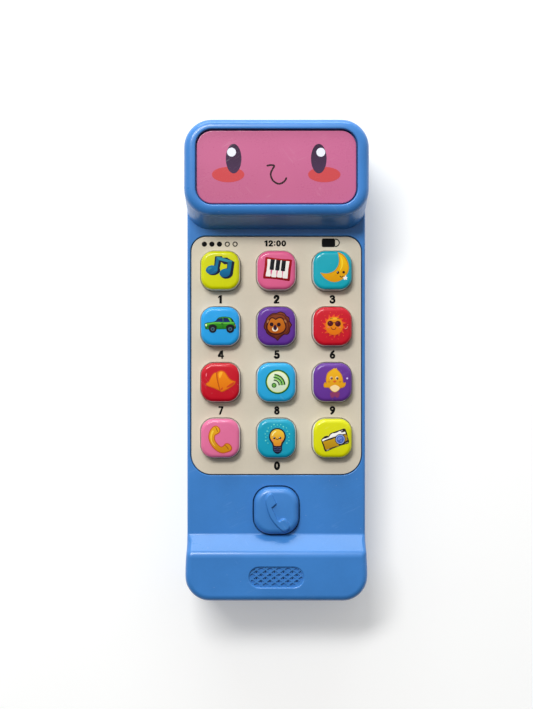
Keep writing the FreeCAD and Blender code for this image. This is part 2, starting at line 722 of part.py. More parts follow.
# --- battery door with tabs and a captive screw -----------------------------------------
dz0 = door_axis_height - door_half_thickness
door_bits = [block("door_plate", -door_half_width, door_half_width, 50.2, door_axis_station, dz0, dz0 + door_half_thickness * 2),
             rod_x("door_round_edge", -door_half_width, door_half_width, door_axis_station, door_axis_height,
                   door_half_thickness * 2),
             rod("door_ear", 0, door_ear_station, dz0, 2.6, 7.0)]
for n, x in enumerate((14.0, -14.0)):
    door_bits.append(block("door_tab_%d" % (n + 1), x - 3.0, x + 3.0, 75.5, 77.2, 0.45, 1.0))
door_tools = [rod("door_head_seat", 0, door_ear_station, -1.0, 1.5, 4.4),
              rod("door_shank_hole", 0, door_ear_station, 1.0, 3.0, 2.3)]
for n in range(3):
    door_tools.append(block("door_grip_%d" % (n + 1), -7.0 + n, 7.0 - n, 53.0 + 1.6 * n, 53.7 + 1.6 * n, -0.5, 0.45))
battery_door = node(cut("battery_door", fuse("door_solid", door_bits), fuse("door_cuts", door_tools)))


def screw(label, x, y, z_seat, head_d, head_h, shank_d, shank_len):
    """Pan-head screw pointing up, its cross recess underneath."""
    head_c = rod(label + "_head", x, y, z_seat - head_h, z_seat, head_d)
    shank = rod(label + "_shank", x, y, z_seat - 0.1, z_seat + shank_len, shank_d)
    solid = fuse(label + "_solid", [head_c, shank])
    a = head_d * 0.3
    slot1 = block(label + "_slot_1", x - a, x + a, y - 0.3, y + 0.3, z_seat - head_h - 0.2, z_seat - head_h + 0.55)
    slot2 = block(label + "_slot_2", x - 0.3, x + 0.3, y - a, y + a, z_seat - head_h - 0.2, z_seat - head_h + 0.55)
    return cut(label, solid, fuse(label + "_cross", [slot1, slot2]))


node(screw("battery_door_screw", 0, door_ear_station, 1.45, 3.8, 1.1, 2.0, 3.75))
node(group("housing_screws", [screw("housing_screw_%d" % (n + 1), x, y, 3.75, 4.8, 1.8, 2.55, 9.7)
                              for n, (x, y) in enumerate(screw_spots)]))

# --- cells and contacts -------------------------------------------------------------------
nub = 1.0


def cell(label, y, sign):
    tip = 23.55 * sign
    far = tip - sign * val(cell_length)
    x0, x1 = sorted((tip - sign * nub, far))
    can = rod_x(label + "_can", x0, x1, y, cell_axis_height, cell_diameter)
    cap = rod_x(label + "_cap", min(tip, tip - sign * (nub + 0.2)), max(tip, tip - sign * (nub + 0.2)), y,
                cell_axis_height, 3.8)
    return node(fuse(label, [can, cap]))


cell("battery_upper", cell_high_station, 1)
cell("battery_lower", cell_low_station, -1)


def coil(x0, x1, y, z, radius, wire):
    """Cell spring: three and a half turns between its plate and the cell's flat end."""
    length = abs(x1 - x0) - wire
    helix = Part.makeHelix(length / 3.0, length, radius)
    start = helix.Vertexes[0].Point
    prof = Part.Wire(Part.makeCircle(wire / 2, start, V(0, 1, 0)))
    pipe = Part.Wire(helix.Edges).makePipeShell([prof], True, True)
    sgn = 1 if x1 > x0 else -1
    pipe.translate(V(0, 0, wire / 2))
    pipe.rotate(V(0, 0, 0), V(0, 1, 0), 90 * sgn)
    pipe.translate(V(x0, y, z))
    return pipe


zc = val(cell_axis_height)
yl, yh = val(cell_low_station), val(cell_high_station)
far_end = 23.55 - (val(cell_length))


def plate(x, y, y_half=4.2):
    return Part.makeBox(0.4, 2 * y_half, 8.0, V(x, y - y_half, zc - 4.0))


pos_shape = plate(24.15, yh).fuse(Part.makeCone(1.4, 0.8, 0.5, V(24.15, yh, zc), V(-1, 0, 0)))
pos_shape = pos_shape.fuse(Part.makeBox(2.5, 1.6, 0.4, V(24.4, yh - 0.8, 7.9)))
node(feature("battery_contact_positive", pos_shape.removeSplitter()))
neg_shape = plate(24.15, yl).fuse(coil(24.17, -far_end + 0.04, yl, zc, 2.8, 0.6))
neg_shape = neg_shape.fuse(Part.makeBox(2.5, 1.6, 0.4, V(24.4, yl - 0.8, 7.9)))
node(feature("battery_contact_negative", neg_shape.removeSplitter()))
bridge = Part.makeBox(0.4, yh - yl + 8.4, 8.0, V(-24.55, yl - 4.2, zc - 4.0))
bridge = bridge.fuse(Part.makeCone(1.4, 0.8, 0.5, V(-24.15, yl, zc), V(1, 0, 0)))
bridge = bridge.fuse(coil(-24.17, far_end - 0.04, yh, zc, 2.8, 0.6))
node(feature("battery_bridge_contact", bridge.removeSplitter()))

# --- face panel, lamps ------------------------------------------------------------------------
face = new_body("face_panel")
sk = new_sketch(face, "face_panel_outline", offset=face_panel_top - face_panel_thickness)
rounded(sk, -face_panel_width / 2, face_panel_width / 2, face_centre - face_panel_length / 2,
        face_centre + face_panel_length / 2, face_panel_corner)
face_pad = pad(face, "face_panel_pad", sk, face_panel_thickness)
pd_fillet(face, "face_panel_edge", face_pad, 0.35, level(val(face_panel_top)))
node(face)

lamp_board = new_body("led_board_blank")
sk = new_sketch(lamp_board, "led_board_outline", offset=17.0)
rounded_centred(sk, 0, face_centre, 55.2, 9.0, 1.0)
pad(lamp_board, "led_board_pad", sk, 1.0)
node(cut("led_board", lamp_board, fuse("led_board_holes", [
    rod("led_board_hole_1", 26.2, face_centre, 16.0, 19.0, 2.1),
    rod("led_board_hole_2", -26.2, face_centre, 16.0, 19.0, 2.1)])))
leds = []
for n, x in enumerate((13.0, -13.0)):
    leds.append(fuse("face_led_%d" % (n + 1), [rod("led_flange_%d" % n, x, face_centre, 18.0, 19.0, 5.6),
                                               rod("led_barrel_%d" % n, x, face_centre, 18.5, 22.0, 5.0),
                                               taper("led_tip_%d" % n, x, face_centre, 22.0, 23.6, 5.0, 2.6)]))
node(group("face_leds", leds))
node(group("led_board_screws", [screw("led_board_screw_%d" % (n + 1), x, face_centre, 16.97, 3.6, 1.2, 1.8, 4.6)
                                for n, x in enumerate((26.2, -26.2))]))

# --- keypad panel -------------------------------------------------------------------------------
kp = new_body("keypad_panel")
sk = new_sketch(kp, "keypad_panel_outline", offset=panel_underside)
rounded(sk, -panel_width / 2, panel_width / 2, panel_bottom_station, panel_top_station,
        panel_bottom_corner, panel_top_corner)
pad(kp, "keypad_panel_pad", sk, panel_surface - panel_underside)
post_sk = new_sketch(kp, "panel_post_outline", offset=board_underside + board_thickness)
circle(post_sk, -key_pitch / 2, key_first_row + key_pitch / 2, post_diameter)
# the keypad is a regular field of square holes, the posts stand where four keys meet
first_hole = new_sketch(kp, "key_hole_outline", offset=panel_underside)
rounded(first_hole, -key_pitch - key_hole_width / 2, -key_pitch + key_hole_width / 2,
        key_first_row - key_hole_width / 2, key_first_row + key_hole_width / 2, 4.6)
hole = pocket(kp, "key_hole", first_hole, 4.0)
doc.recompute()


def grid(body, name, original, axis_sketch, nx, ny):
    mt = body.newObject("PartDesign::MultiTransform", name)
    mt.Originals = [original]
    a = body.newObject("PartDesign::LinearPattern", name + "_across")
    a.Direction = (axis_sketch, ["H_Axis"])
    bind(a, "Length", key_pitch * (nx - 1))
    a.Occurrences = nx
    b = body.newObject("PartDesign::LinearPattern", name + "_along")
    b.Direction = (axis_sketch, ["V_Axis"])
    bind(b, "Length", key_pitch * (ny - 1))
    b.Occurrences = ny
    mt.Transformations = [a, b]
    body.Tip = mt
    return mt


grid(kp, "key_holes", hole, first_hole, 3, 4)
doc.recompute()
post = pad(kp, "panel_post", post_sk, panel_underside - board_underside - board_thickness + 0.2)
doc.recompute()
grid(kp, "panel_posts", post, post_sk, 2, 3)
doc.recompute()
bore_sk = new_sketch(kp, "panel_post_bore_outline", offset=board_underside + board_thickness)
circle(bore_sk, -key_pitch / 2, key_first_row + key_pitch / 2, 1.9)
bore = pocket(kp, "panel_post_bore", bore_sk, 4.6)
doc.recompute()
bores_done = grid(kp, "panel_post_bores", bore, bore_sk, 2, 3)
doc.recompute()
pd_fillet(kp, "keypad_panel_edges", bores_done, 0.22, level(val(panel_surface)))
node(kp)


# --- keys -----------------------------------------------------------------------------------------
def key(label, cx, cy, w, l, r, top, edge, wall):
    """Hollow cap with a hidden retaining flange and a centre stem above its dome."""
    if not isinstance(l, Dim):
        l = Dim(l, repr(float(l)))
    b = new_body(label)
    zero = 0
    s = new_sketch(b, label + "_flange_outline", offset=flange_underside)
    rounded(s, -w / 2 - flange_margin, w / 2 + flange_margin, -l / 2 - flange_margin, l / 2 + flange_margin, 2.5)
    pad(b, label + "_flange", s, flange_thickness)
    s = new_sketch(b, label + "_cap_outline", offset=flange_underside)
    rounded(s, -w / 2, w / 2, -l / 2, l / 2, r)
    cap = pad(b, label + "_cap", s, top - flange_underside)
    pd_fillet(b, label + "_edge", cap, edge, level(val(top)))
    s = new_sketch(b, label + "_hollow_outline", offset=flange_underside)
    rounded(s, -w / 2 + wall, w / 2 - wall, -l / 2 + wall, l / 2 - wall, r - wall)
    pocket(b, label + "_hollow", s, top - flange_underside - 1.7)
    s = new_sketch(b, label + "_stem_outline", offset=stem_bottom)
    circle(s, zero, zero, stem_diameter)
    pad(b, label + "_stem", s, top - stem_bottom - 1.5)
    b.Placement = FreeCAD.Placement(V(val(cx), val(cy), 0), FreeCAD.Rotation())
    bind(b, "Placement.Base.x", cx)
    bind(b, "Placement.Base.y", cy)
    return b


names = [["key_1", "key_2", "key_3"], ["key_4", "key_5", "key_6"],
         ["key_7", "key_8", "key_9"], ["key_call", "key_0", "key_camera"]]
for r, line in enumerate(names):
    for c, name in enumerate(line):
        node(key(name, key_pitch * (c - 1), key_first_row + key_pitch * (3 - r), key_width, key_width,
                 key_corner, key_top, key_edge_round, key_wall))

# call button with a raised handset outline
call_blank = key("call_button_blank", 0.0, call_station, call_width, call_length, call_corner,
                 call_top, call_edge_round, key_wall)
outline_pts = [(-3.27, 4.04), (-3.42, 2.95), (-3.15, 1.29), (-2.58, -0.66), (-1.74, -2.60), (-0.63, -4.27),
               (0.76, -5.79), (2.15, -6.90), (2.99, -7.18), (3.83, -6.76), (4.52, -5.79), (4.11, -4.54),
               (3.41, -3.29), (2.71, -2.95), (1.88, -3.15), (1.04, -3.71), (0.21, -2.60), (-0.63, -0.80),
               (-1.32, 0.72), (-1.05, 1.01), (0.07, 2.12), (-0.14, 2.68), (-0.76, 4.07), (-1.32, 5.18),
               (-2.02, 5.45), (-2.85, 4.90)]
zb = val(call_top)
yc = val(call_station)
# the handset is drawn about the button's own centre
mx = sum(p[0] for p in outline_pts) / len(outline_pts)
my = sum(p[1] for p in outline_pts) / len(outline_pts)
curve = Part.BSplineCurve()
curve.interpolate([V((p[0] - mx) * 0.94, yc + (p[1] - my) * 0.94, zb - 0.3) for p in outline_pts], PeriodicFlag=True)
handset = Part.Face(Part.Wire(curve.toShape())).extrude(V(0, 0, 0.3 + val(emboss_height)))
handset_relief = feature("handset_relief", handset)
node(fuse("call_button", [call_blank, handset_relief]))

# --- rubber mat, circuit board and what is on it ------------------------------------------------------
key_spots = [(key_pitch * (c - 1), key_first_row + key_pitch * r) for r in range(4) for c in range(3)]
key_spots.append((Dim(0.0, "0.0"), call_station))
post_spots = [(key_pitch * (c - 0.5), key_first_row + key_pitch * (r + 0.5)) for r in range(3) for c in range(2)]
mat_z0 = board_underside + board_thickness
mat_z1 = mat_z0 + mat_thickness
mat_bits = [block("mat_field", -24.6, 24.6, -35.0, 38.0, mat_z0, mat_z1),
            block("mat_tail", -8.0, 8.0, -56.3, -34.0, mat_z0, mat_z1)]
for n, (x, y) in enumerate(key_spots):
    mat_bits.append(taper("dome_%d" % (n + 1), x, y, mat_z1 - 0.1, mat_z1 + dome_height, 8.4, 4.6))
mat_cuts = []
for n, (x, y) in enumerate(key_spots):
    mat_cuts.append(taper("dome_hollow_%d" % (n + 1), x, y, mat_z0 - 0.5, mat_z1 + 1.5, 7.4, 3.4))
for n, (x, y) in enumerate(post_spots):
    mat_cuts.append(rod("mat_hole_%d" % (n + 1), x, y, mat_z0 - 0.5, mat_z1 + 0.5, post_diameter + 0.8))
node(cut("rubber_keypad", fuse("mat_solid", mat_bits), fuse("mat_openings", mat_cuts)))

board = new_body("main_board_blank")
sk = new_sketch(board, "main_board_outline", offset=board_underside)
polygon(sk, [(-board_width / 2, -38.0), (-18.0, -38.0), (-18.0, -58.0), (18.0, -58.0), (18.0, -38.0),
             (board_width / 2, -38.0), (board_width / 2, 40.0), (-board_width / 2, 40.0)])
pad(board, "main_board_pad", sk, board_thickness)
node(cut("main_pcb", board, fuse("main_board_holes", [
    rod("board_hole_%d" % (n + 1), x, y, board_underside - 1, 11.0, 2.1) for n, (x, y) in enumerate(post_spots)])))
node(group("pcb_screws", [screw("pcb_screw_%d" % (n + 1), x, y, 8.77, 3.6, 1.2, 1.8, 4.9)
                          for n, (x, y) in enumerate(post_spots)]))
chip = doc.addObject("Part::Sphere", "chip_ball")
chip.Radius = 12.0
chip.Placement = FreeCAD.Placement(V(0, -30.0, 8.79 + 10.4), FreeCAD.Rotation())
node(common("sound_chip", chip, block("chip_slice", -7.0, 7.0, -37.0, -23.0, 7.0, 8.79)))
cap_can = rod("capacitor_can", -16.0, -26.0, 2.6, 8.1, 5.0)
cap_base = rod("capacitor_base", -16.0, -26.0, 8.1, 8.79, 4.2)
node(fuse("filter_capacitor", [cap_can, cap_base]))

# --- speaker --------------------------------------------------------------------------------------------
frame_out = fuse("speaker_basket", [rod("speaker_rim", 0, speaker_station, 15.0, 16.5, speaker_diameter),
                                    taper("speaker_bowl", 0, speaker_station, 12.6, 15.0, 9.2, 15.2)])
frame_in = fuse("speaker_inside", [rod("speaker_well", 0, speaker_station, 15.2, 17.0, 13.0),
                                   taper("speaker_bowl_inside", 0, speaker_station, 13.0, 15.2, 8.0, 13.0)])
node(cut("speaker_frame", frame_out, frame_in))
node(rod("speaker_magnet", 0, speaker_station, 10.1, 12.6, 9.0))
cone_out = fuse("cone_outer", [taper("cone_wall", 0, speaker_station, 13.9, 15.9, 5.0, 12.0),
                               rod("cone_edge", 0, speaker_station, 15.9, 16.2, 12.9)])
cone_in = taper("cone_inner", 0, speaker_station, 14.3, 16.3, 5.0, 12.0)
node(fuse("speaker_cone", [cut("cone_skin", cone_out, cone_in),
                           rod("dust_cap", 0, speaker_station, 14.0, 14.9, 5.2)]))

# --- power switch ------------------------------------------------------------------------------------------
ys = switch_station
sw_solid = fuse("switch_case_solid", [block("switch_case", -4.9, 4.9, ys - 2.9, ys + 2.9, 1.85, 6.8),
                                      block("switch_ears", -8.4, 8.4, ys - 2.0, ys + 2.0, 3.82, 4.6)])
sw_cuts = fuse("switch_case_cuts", [block("switch_room", -4.1, 4.1, ys - 2.0, ys + 2.0, 2.85, 4.4),
                                    block("switch_mouth", -3.5, 3.5, ys - 1.5, ys + 1.5, 1.0, 3.0),
                                    rod("switch_ear_hole_1", 6.7, ys, 3.0, 5.0, 1.9),
                                    rod("switch_ear_hole_2", -6.7, ys, 3.0, 5.0, 1.9)])
node(cut("power_switch_body", sw_solid, sw_cuts))
knob = fuse("knob_solid", [block("knob_stem", -switch_travel / 2 - 1.9, -switch_travel / 2 + 1.9, ys - 1.3, ys + 1.3, 0.45, 3.0),
                           block("knob_carriage", -switch_travel / 2 - 2.5, -switch_travel / 2 + 2.5, ys - 1.8, ys + 1.8, 2.9, 4.2)])
knob_cuts = fuse("knob_grooves", [block("knob_groove_%d" % n, -switch_travel / 2 - 1.25 + 1.0 * n,
                                        -switch_travel / 2 - 0.75 + 1.0 * n, ys - 2, ys + 2, 0.0, 0.75) for n in range(3)])
node(cut("power_switch_knob", knob, knob_cuts))
# small screws pointing down into the posts
def down_screw(label, x, y, z_seat):
    return fuse(label, [rod(label + "_head", x, y, z_seat, z_seat + 1.0, 3.0),
                        rod(label + "_shank", x, y, z_seat - 2.3, z_seat + 0.1, 1.6)])


node(group("power_switch_screws", [down_screw("power_switch_screw_1", 6.7, ys, 4.62),
                                   down_screw("power_switch_screw_2", -6.7, ys, 4.62)]))


# --- leads ----------------------------------------------------------------------------------------------------
def lead(label, pts, dia=0.9, largest=9.0):
    """Insulated lead: straight runs joined by tangent arcs as large as the room allows."""
    pts = [V(*p) for p in pts]
    edges = []
    cursor = pts[0]
    length = 0.0
    for i in range(1, len(pts) - 1):
        a, b, c = pts[i - 1], pts[i], pts[i + 1]
        u = (a - b).normalize()
        w = (c - b).normalize()
        turn = math.pi - u.getAngle(w)
        short = min((a - b).Length, (c - b).Length)
        r = min(0.45 * short / math.tan(turn / 2), largest)
        t = r * math.tan(turn / 2)
        p1, p2 = b + u * t, b + w * t
        bis = (u + w).normalize()
        centre = b + bis * (r / math.cos(turn / 2))
        mid = centre - bis * r
        edges.append(Part.LineSegment(cursor, p1).toShape())
        edges.append(Part.Arc(p1, mid, p2).toShape())
        length += (p1 - cursor).Length + r * turn
        print("lead %s turn %.0f deg radius %.2f" % (label, math.degrees(turn), r))
        cursor = p2
    edges.append(Part.LineSegment(cursor, pts[-1]).toShape())
    length += (pts[-1] - cursor).Length
    path = Part.Wire(edges)
    prof = Part.Wire(Part.makeCircle(dia / 2, pts[0], pts[1] - pts[0]))
    tube = path.makePipeShell([prof], True, False)
    want = math.pi * dia * dia / 4 * length
    print("lead %s volume %.3f expected %.3f" % (label, tube.Volume, want))
    return node(feature(label, tube))


lead("battery_wire_red", [(27.0, 69.0, 7.4), (27.0, 48.95, 7.35), (20.0, 48.9, 7.4), (19.5, 38.2, 8.3)],
     largest=1.8)
lead("battery_wire_black", [(27.0, 57.4, 8.82), (27.0, 48.95, 8.8), (18.5, 48.8, 8.7), (16.5, 38.2, 8.3)],
     largest=1.8)
lead("led_wire_red", [(-18.0, 61.0, 16.5), (-18.0, 48.75, 16.45), (-18.0, 48.6, 11.2), (-18.0, 38.9, 10.5)])
lead("led_wire_black", [(-16.0, 61.0, 16.5), (-16.0, 48.75, 16.45), (-16.0, 48.6, 11.2), (-16.0, 38.9, 10.5)])
lead("speaker_wire_red", [(2.0, -61.9, 13.6), (2.0, -61.2, 10.6), (2.0, -57.3, 10.5)])
lead("speaker_wire_black", [(-2.0, -61.9, 13.6), (-2.0, -61.2, 10.6), (-2.0, -57.3, 10.5)])

# --- check and write -----------------------------------------------------------------------------------------
doc.recompute()
bad = []
for o in doc.Objects:
    if any(s in ("Invalid", "Error") for s in o.State):
        bad.append("%s: %s" % (o.Label, o.State))
total = 0.0
for o in nodes:
    s = o.Shape
    if s.isNull() or not s.isValid() or not s.Solids:
        bad.append("%s: null, invalid or without a solid" % o.Label)
        continue
    total += s.Volume
    bb = s.BoundBox
    print("%-26s solids %2d vol %9.2f  x %7.2f %7.2f  y %7.2f %7.2f  z %6.2f %6.2f" % (
        o.Label, len(s.Solids), s.Volume, bb.XMin, bb.XMax, bb.YMin, bb.YMax, bb.ZMin, bb.ZMax))
if bad:
    raise SystemExit("model problems:\n" + "\n".join(bad))
for o in nodes:
    o.Shape.exportStep(os.path.join("parts", o.Label + ".step"))
print("nodes", len(nodes), "total volume", round(total, 1))
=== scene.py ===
import math

import bpy
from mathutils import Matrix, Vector
from mathutils.geometry import delaunay_2d_cdt


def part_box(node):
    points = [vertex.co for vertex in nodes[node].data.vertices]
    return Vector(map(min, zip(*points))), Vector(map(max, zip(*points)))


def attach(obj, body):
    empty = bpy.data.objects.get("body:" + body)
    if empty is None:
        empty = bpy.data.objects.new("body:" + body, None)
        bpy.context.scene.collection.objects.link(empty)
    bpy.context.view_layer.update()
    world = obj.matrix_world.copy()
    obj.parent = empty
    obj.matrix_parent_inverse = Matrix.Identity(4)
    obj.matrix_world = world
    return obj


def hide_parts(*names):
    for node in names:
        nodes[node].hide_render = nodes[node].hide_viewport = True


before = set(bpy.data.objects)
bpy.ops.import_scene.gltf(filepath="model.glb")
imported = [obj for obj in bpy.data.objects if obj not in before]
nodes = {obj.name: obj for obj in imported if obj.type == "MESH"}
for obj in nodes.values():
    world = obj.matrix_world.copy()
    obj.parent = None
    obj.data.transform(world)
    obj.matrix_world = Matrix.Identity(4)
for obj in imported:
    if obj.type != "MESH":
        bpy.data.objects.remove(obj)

for leftover in ("Cube", "Light", "Camera"):
    if leftover in bpy.data.objects:
        bpy.data.objects.remove(bpy.data.objects[leftover])
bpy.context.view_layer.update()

scene = bpy.context.scene
MM = 0.001


def lin(r, g, b):
    """A display colour, 0 to 255, as scene-linear."""
    out = []
    for c in (r, g, b):
        c = max(0.0, min(255.0, c)) / 255
        out.append(c / 12.92 if c <= 0.04045 else ((c + 0.055) / 1.055) ** 2.4)
    return (out[0], out[1], out[2], 1.0)


def times(colour, k):
    return tuple(min(1.0, c * k) for c in colour[:3]) + (1.0,)


# --------------------------------------------------------------------------------------------------
# materials
# --------------------------------------------------------------------------------------------------
class Tree:
    """A material's node tree with short calls for the nodes used here. Lengths are in millimetres."""

    def __init__(self, name):
        self.material = bpy.data.materials.new(name)
        self.material.use_nodes = True
        self.nodes = self.material.node_tree.nodes
        self.links = self.material.node_tree.links
        self.shader = self.nodes["Principled BSDF"]
        where = self.add("ShaderNodeTexCoord")
        self.mm = self.vec("MULTIPLY", where.outputs["Object"], (1000.0, 1000.0, 1000.0))

    def put(self, socket, value):
        if isinstance(value, bpy.types.NodeSocket):
            self.links.new(value, socket)
        elif socket.type == "RGBA" and isinstance(value, (int, float)):
            socket.default_value = (value, value, value, 1.0)
        else:
            socket.default_value = value

    def add(self, kind, inputs=None, **settings):
        n = self.nodes.new(kind)
        for k, v in settings.items():
            setattr(n, k, v)
        for k, v in (inputs or {}).items():
            self.put(n.inputs[k], v)
        return n

    def math(self, op, a, b=0.0, c=None, clamp=False):
        ins = {0: a, 1: b}
        if c is not None:
            ins[2] = c
        return self.add("ShaderNodeMath", ins, operation=op, use_clamp=clamp).outputs[0]

    def vec(self, op, a, b=(0.0, 0.0, 0.0)):
        return self.add("ShaderNodeVectorMath", {0: a, 1: b}, operation=op).outputs[0]

    def turn(self, angle, stretch, shift=(0.0, 0.0, 0.0)):
        """The coordinates turned about Z by angle degrees and then scaled."""
        n = self.add("ShaderNodeMapping", {"Vector": self.mm}, vector_type="TEXTURE")
        n.inputs["Rotation"].default_value = (0.0, 0.0, math.radians(angle))
        n.inputs["Location"].default_value = shift
        n.inputs["Scale"].default_value = tuple(1.0 / s for s in stretch)
        return n.outputs[0]

    def noise(self, scale, detail=2.0, vector=None, rough=0.5, distort=0.0):
        n = self.add("ShaderNodeTexNoise", {"Vector": vector or self.mm, "Scale": scale, "Detail": detail,
                                           "Roughness": rough, "Distortion": distort})
        return n.outputs[0]

    def cells(self, scale, feature="F1", vector=None, spread=1.0):
        return self.add("ShaderNodeTexVoronoi", {"Vector": vector or self.mm, "Scale": scale, "Randomness": spread},
                        feature=feature)

    def step(self, value, lo, hi, a=0.0, b=1.0):
        """a below lo, b above hi, smooth in between."""
        n = self.add("ShaderNodeMapRange", interpolation_type="SMOOTHSTEP")
        for k, v in (("Value", value), ("From Min", lo), ("From Max", hi), ("To Min", a), ("To Max", b)):
            self.put(n.inputs[k], v)
        return n.outputs[0]

    def mix(self, fac, a, b, how="MIX"):
        n = self.add("ShaderNodeMix", data_type="RGBA", blend_type=how)
        self.put(n.inputs[0], fac)
        self.put(n.inputs[6], a)
        self.put(n.inputs[7], b)
        return n.outputs[2]

    def axis(self, which):
        n = self.add("ShaderNodeSeparateXYZ", {0: self.mm})
        return n.outputs["XYZ".index(which)]

    def up(self):
        """How far the surface faces up, from -1 to 1."""
        g = self.add("ShaderNodeNewGeometry")
        return self.add("ShaderNodeSeparateXYZ", {0: g.outputs["Normal"]}).outputs[2]

    def edge(self, radius):
        """1 on an edge, 0 on a flat or a broad curve."""
        bevel = self.add("ShaderNodeBevel", {"Radius": radius * MM}, samples=4)
        g = self.add("ShaderNodeNewGeometry")
        dot = self.add("ShaderNodeVectorMath", {0: bevel.outputs[0], 1: g.outputs["Normal"]}, operation="DOT_PRODUCT")
        return self.step(dot.outputs["Value"], 0.86, 0.995, 1.0, 0.0)

    def hairs(self, angle, shift, width=0.02, often=0.56):
        """Long hairline scratches along one direction, in patches."""
        n = self.noise(1.0, 1.0, self.turn(angle, (0.035, 1.1, 0.4), shift))
        line = self.step(self.math("ABSOLUTE", self.math("SUBTRACT", n, 0.5)), 0.0, width, 1.0, 0.0)
        patch = self.step(self.noise(0.09, 2.0, self.turn(angle + 40, (1, 1, 1), (shift[1], shift[0], 3))), often, often + 0.1)
        return self.math("MULTIPLY", line, patch)

    def specks(self, scale, size, share, shift=(0.0, 0.0, 0.0)):
        """Small dots in a share of the cells."""
        v = self.cells(scale, vector=self.turn(17, (1, 1, 1), shift))
        dot = self.step(v.outputs["Distance"], size * 0.6, size, 1.0, 0.0)
        pick = self.add("ShaderNodeSeparateColor", {0: v.outputs["Color"]}).outputs[0]
        return self.math("MULTIPLY", dot, self.step(pick, 1 - share, 1 - share + 0.02))

    def bump(self, height, distance, normal=None):
        n = self.add("ShaderNodeBump", {"Height": height, "Distance": distance * MM, "Strength": 1.0})
        if normal is not None:
            self.put(n.inputs["Normal"], normal)
        return n.outputs[0]

    def out(self, **values):
        for k, v in values.items():
            self.put(self.shader.inputs[k.replace("_", " ")], v)
        return self.material


def moulded(name, colour, rough=0.36, vary=0.05, peel=0.006, grain=0.002, edge_wear_and_highlight=0.25, marks=0.25, dust=0.12,
            coat=0.0, level=0.5, shade=None, worn=None, base=None, metal=0.0):
    """Injection-moulded plastic: mottled colour, edges lightened as worn plastic and as a painted edge highlight,
    hairline scuffs, dust specks, orange peel and fine grain.
    base replaces the plain colour with a function of the tree, such as a print or a stripe."""
    t = Tree(name)
    broad = t.noise(0.055, 3.0)
    fine = t.noise(1.1, 4.0, rough=0.6)
    col = base(t) if base else colour
    dark = t.mix(1.0, col, times((1, 1, 1), 1 - vary * 1.6), "MULTIPLY")
    col = t.mix(t.step(broad, 0.35, 0.65), dark, col)
    col = t.mix(t.math("MULTIPLY", t.step(fine, 0.40, 0.72), 0.5), col, t.mix(1.0, col, times((1, 1, 1), 1 - vary), "MULTIPLY"))
    hair = t.math("MAXIMUM", t.hairs(24, (3.0, 11.0, 0.0)), t.hairs(-51, (7.0, 2.0, 5.0), 0.016, 0.6))
    # lighter edges: partly wear, partly a painted edge highlight
    edge = t.math("MULTIPLY", t.edge(0.35), t.step(t.noise(0.45, 5.0), 0.46, 0.70))
    col = t.mix(t.math("MULTIPLY", edge, edge_wear_and_highlight), col, worn or (0.75, 0.82, 0.92, 1.0))
    col = t.mix(t.math("MULTIPLY", hair, marks), col, worn or (0.85, 0.88, 0.95, 1.0))
    if dust:
        specks = t.specks(0.55, 0.13, 0.10)
        col = t.mix(t.math("MULTIPLY", specks, dust), col, (0.9, 0.9, 0.88, 1.0))
    r = t.math("ADD", rough - 0.05, t.math("MULTIPLY", broad, 0.10))
    r = t.math("ADD", r, t.math("MULTIPLY", fine, 0.06))
    r = t.math("ADD", r, t.math("MULTIPLY", t.math("MAXIMUM", hair, edge), 0.14), clamp=True)
    height = t.math("ADD", t.math("MULTIPLY", t.noise(0.8, 2.0), 1.0), t.math("MULTIPLY", t.noise(5.0, 2.0), grain / max(peel, 1e-6)))
    height = t.math("SUBTRACT", height, t.math("MULTIPLY", hair, 0.5))
    return t.out(Base_Color=col, Roughness=r, Normal=t.bump(height, peel), Coat_Weight=coat, Coat_Roughness=0.10,
                 Specular_IOR_Level=level, Metallic=metal)


def inked(name, rough=0.3, halftone=0.10, coat=0.0, marks=0.10, level=0.4):
    """Printing whose colour is in the mesh's ink attribute: slight halftone, thin spots and a film's gloss."""
    t = Tree(name)
    ink = t.add("ShaderNodeAttribute", attribute_name="ink").outputs["Color"]
    dots = t.cells(4.2, vector=t.turn(30, (1, 1, 1)), spread=0.15).outputs["Distance"]
    mottle = t.noise(0.9, 4.0, rough=0.65)
    col = t.mix(t.math("MULTIPLY", t.step(dots, 0.25, 0.55), halftone), ink, t.mix(1.0, ink, (0.72, 0.72, 0.74, 1.0), "MULTIPLY"))
    col = t.mix(t.math("MULTIPLY", t.step(mottle, 0.55, 0.80), 0.05), col, t.mix(1.0, ink, (0.8, 0.8, 0.8, 1.0), "MULTIPLY"))
    hair = t.hairs(38, (5.0, 1.0, 0.0))
    col = t.mix(t.math("MULTIPLY", hair, marks), col, (0.9, 0.9, 0.9, 1.0))
    r = t.math("ADD", rough - 0.04, t.math("MULTIPLY", mottle, 0.12))
    height = t.math("ADD", t.noise(0.8, 2.0), t.math("MULTIPLY", t.noise(6.0, 2.0), 0.25))
    return t.out(Base_Color=col, Roughness=r, Normal=t.bump(height, 0.002), Coat_Weight=coat, Coat_Roughness=0.1,
                 Specular_IOR_Level=level)


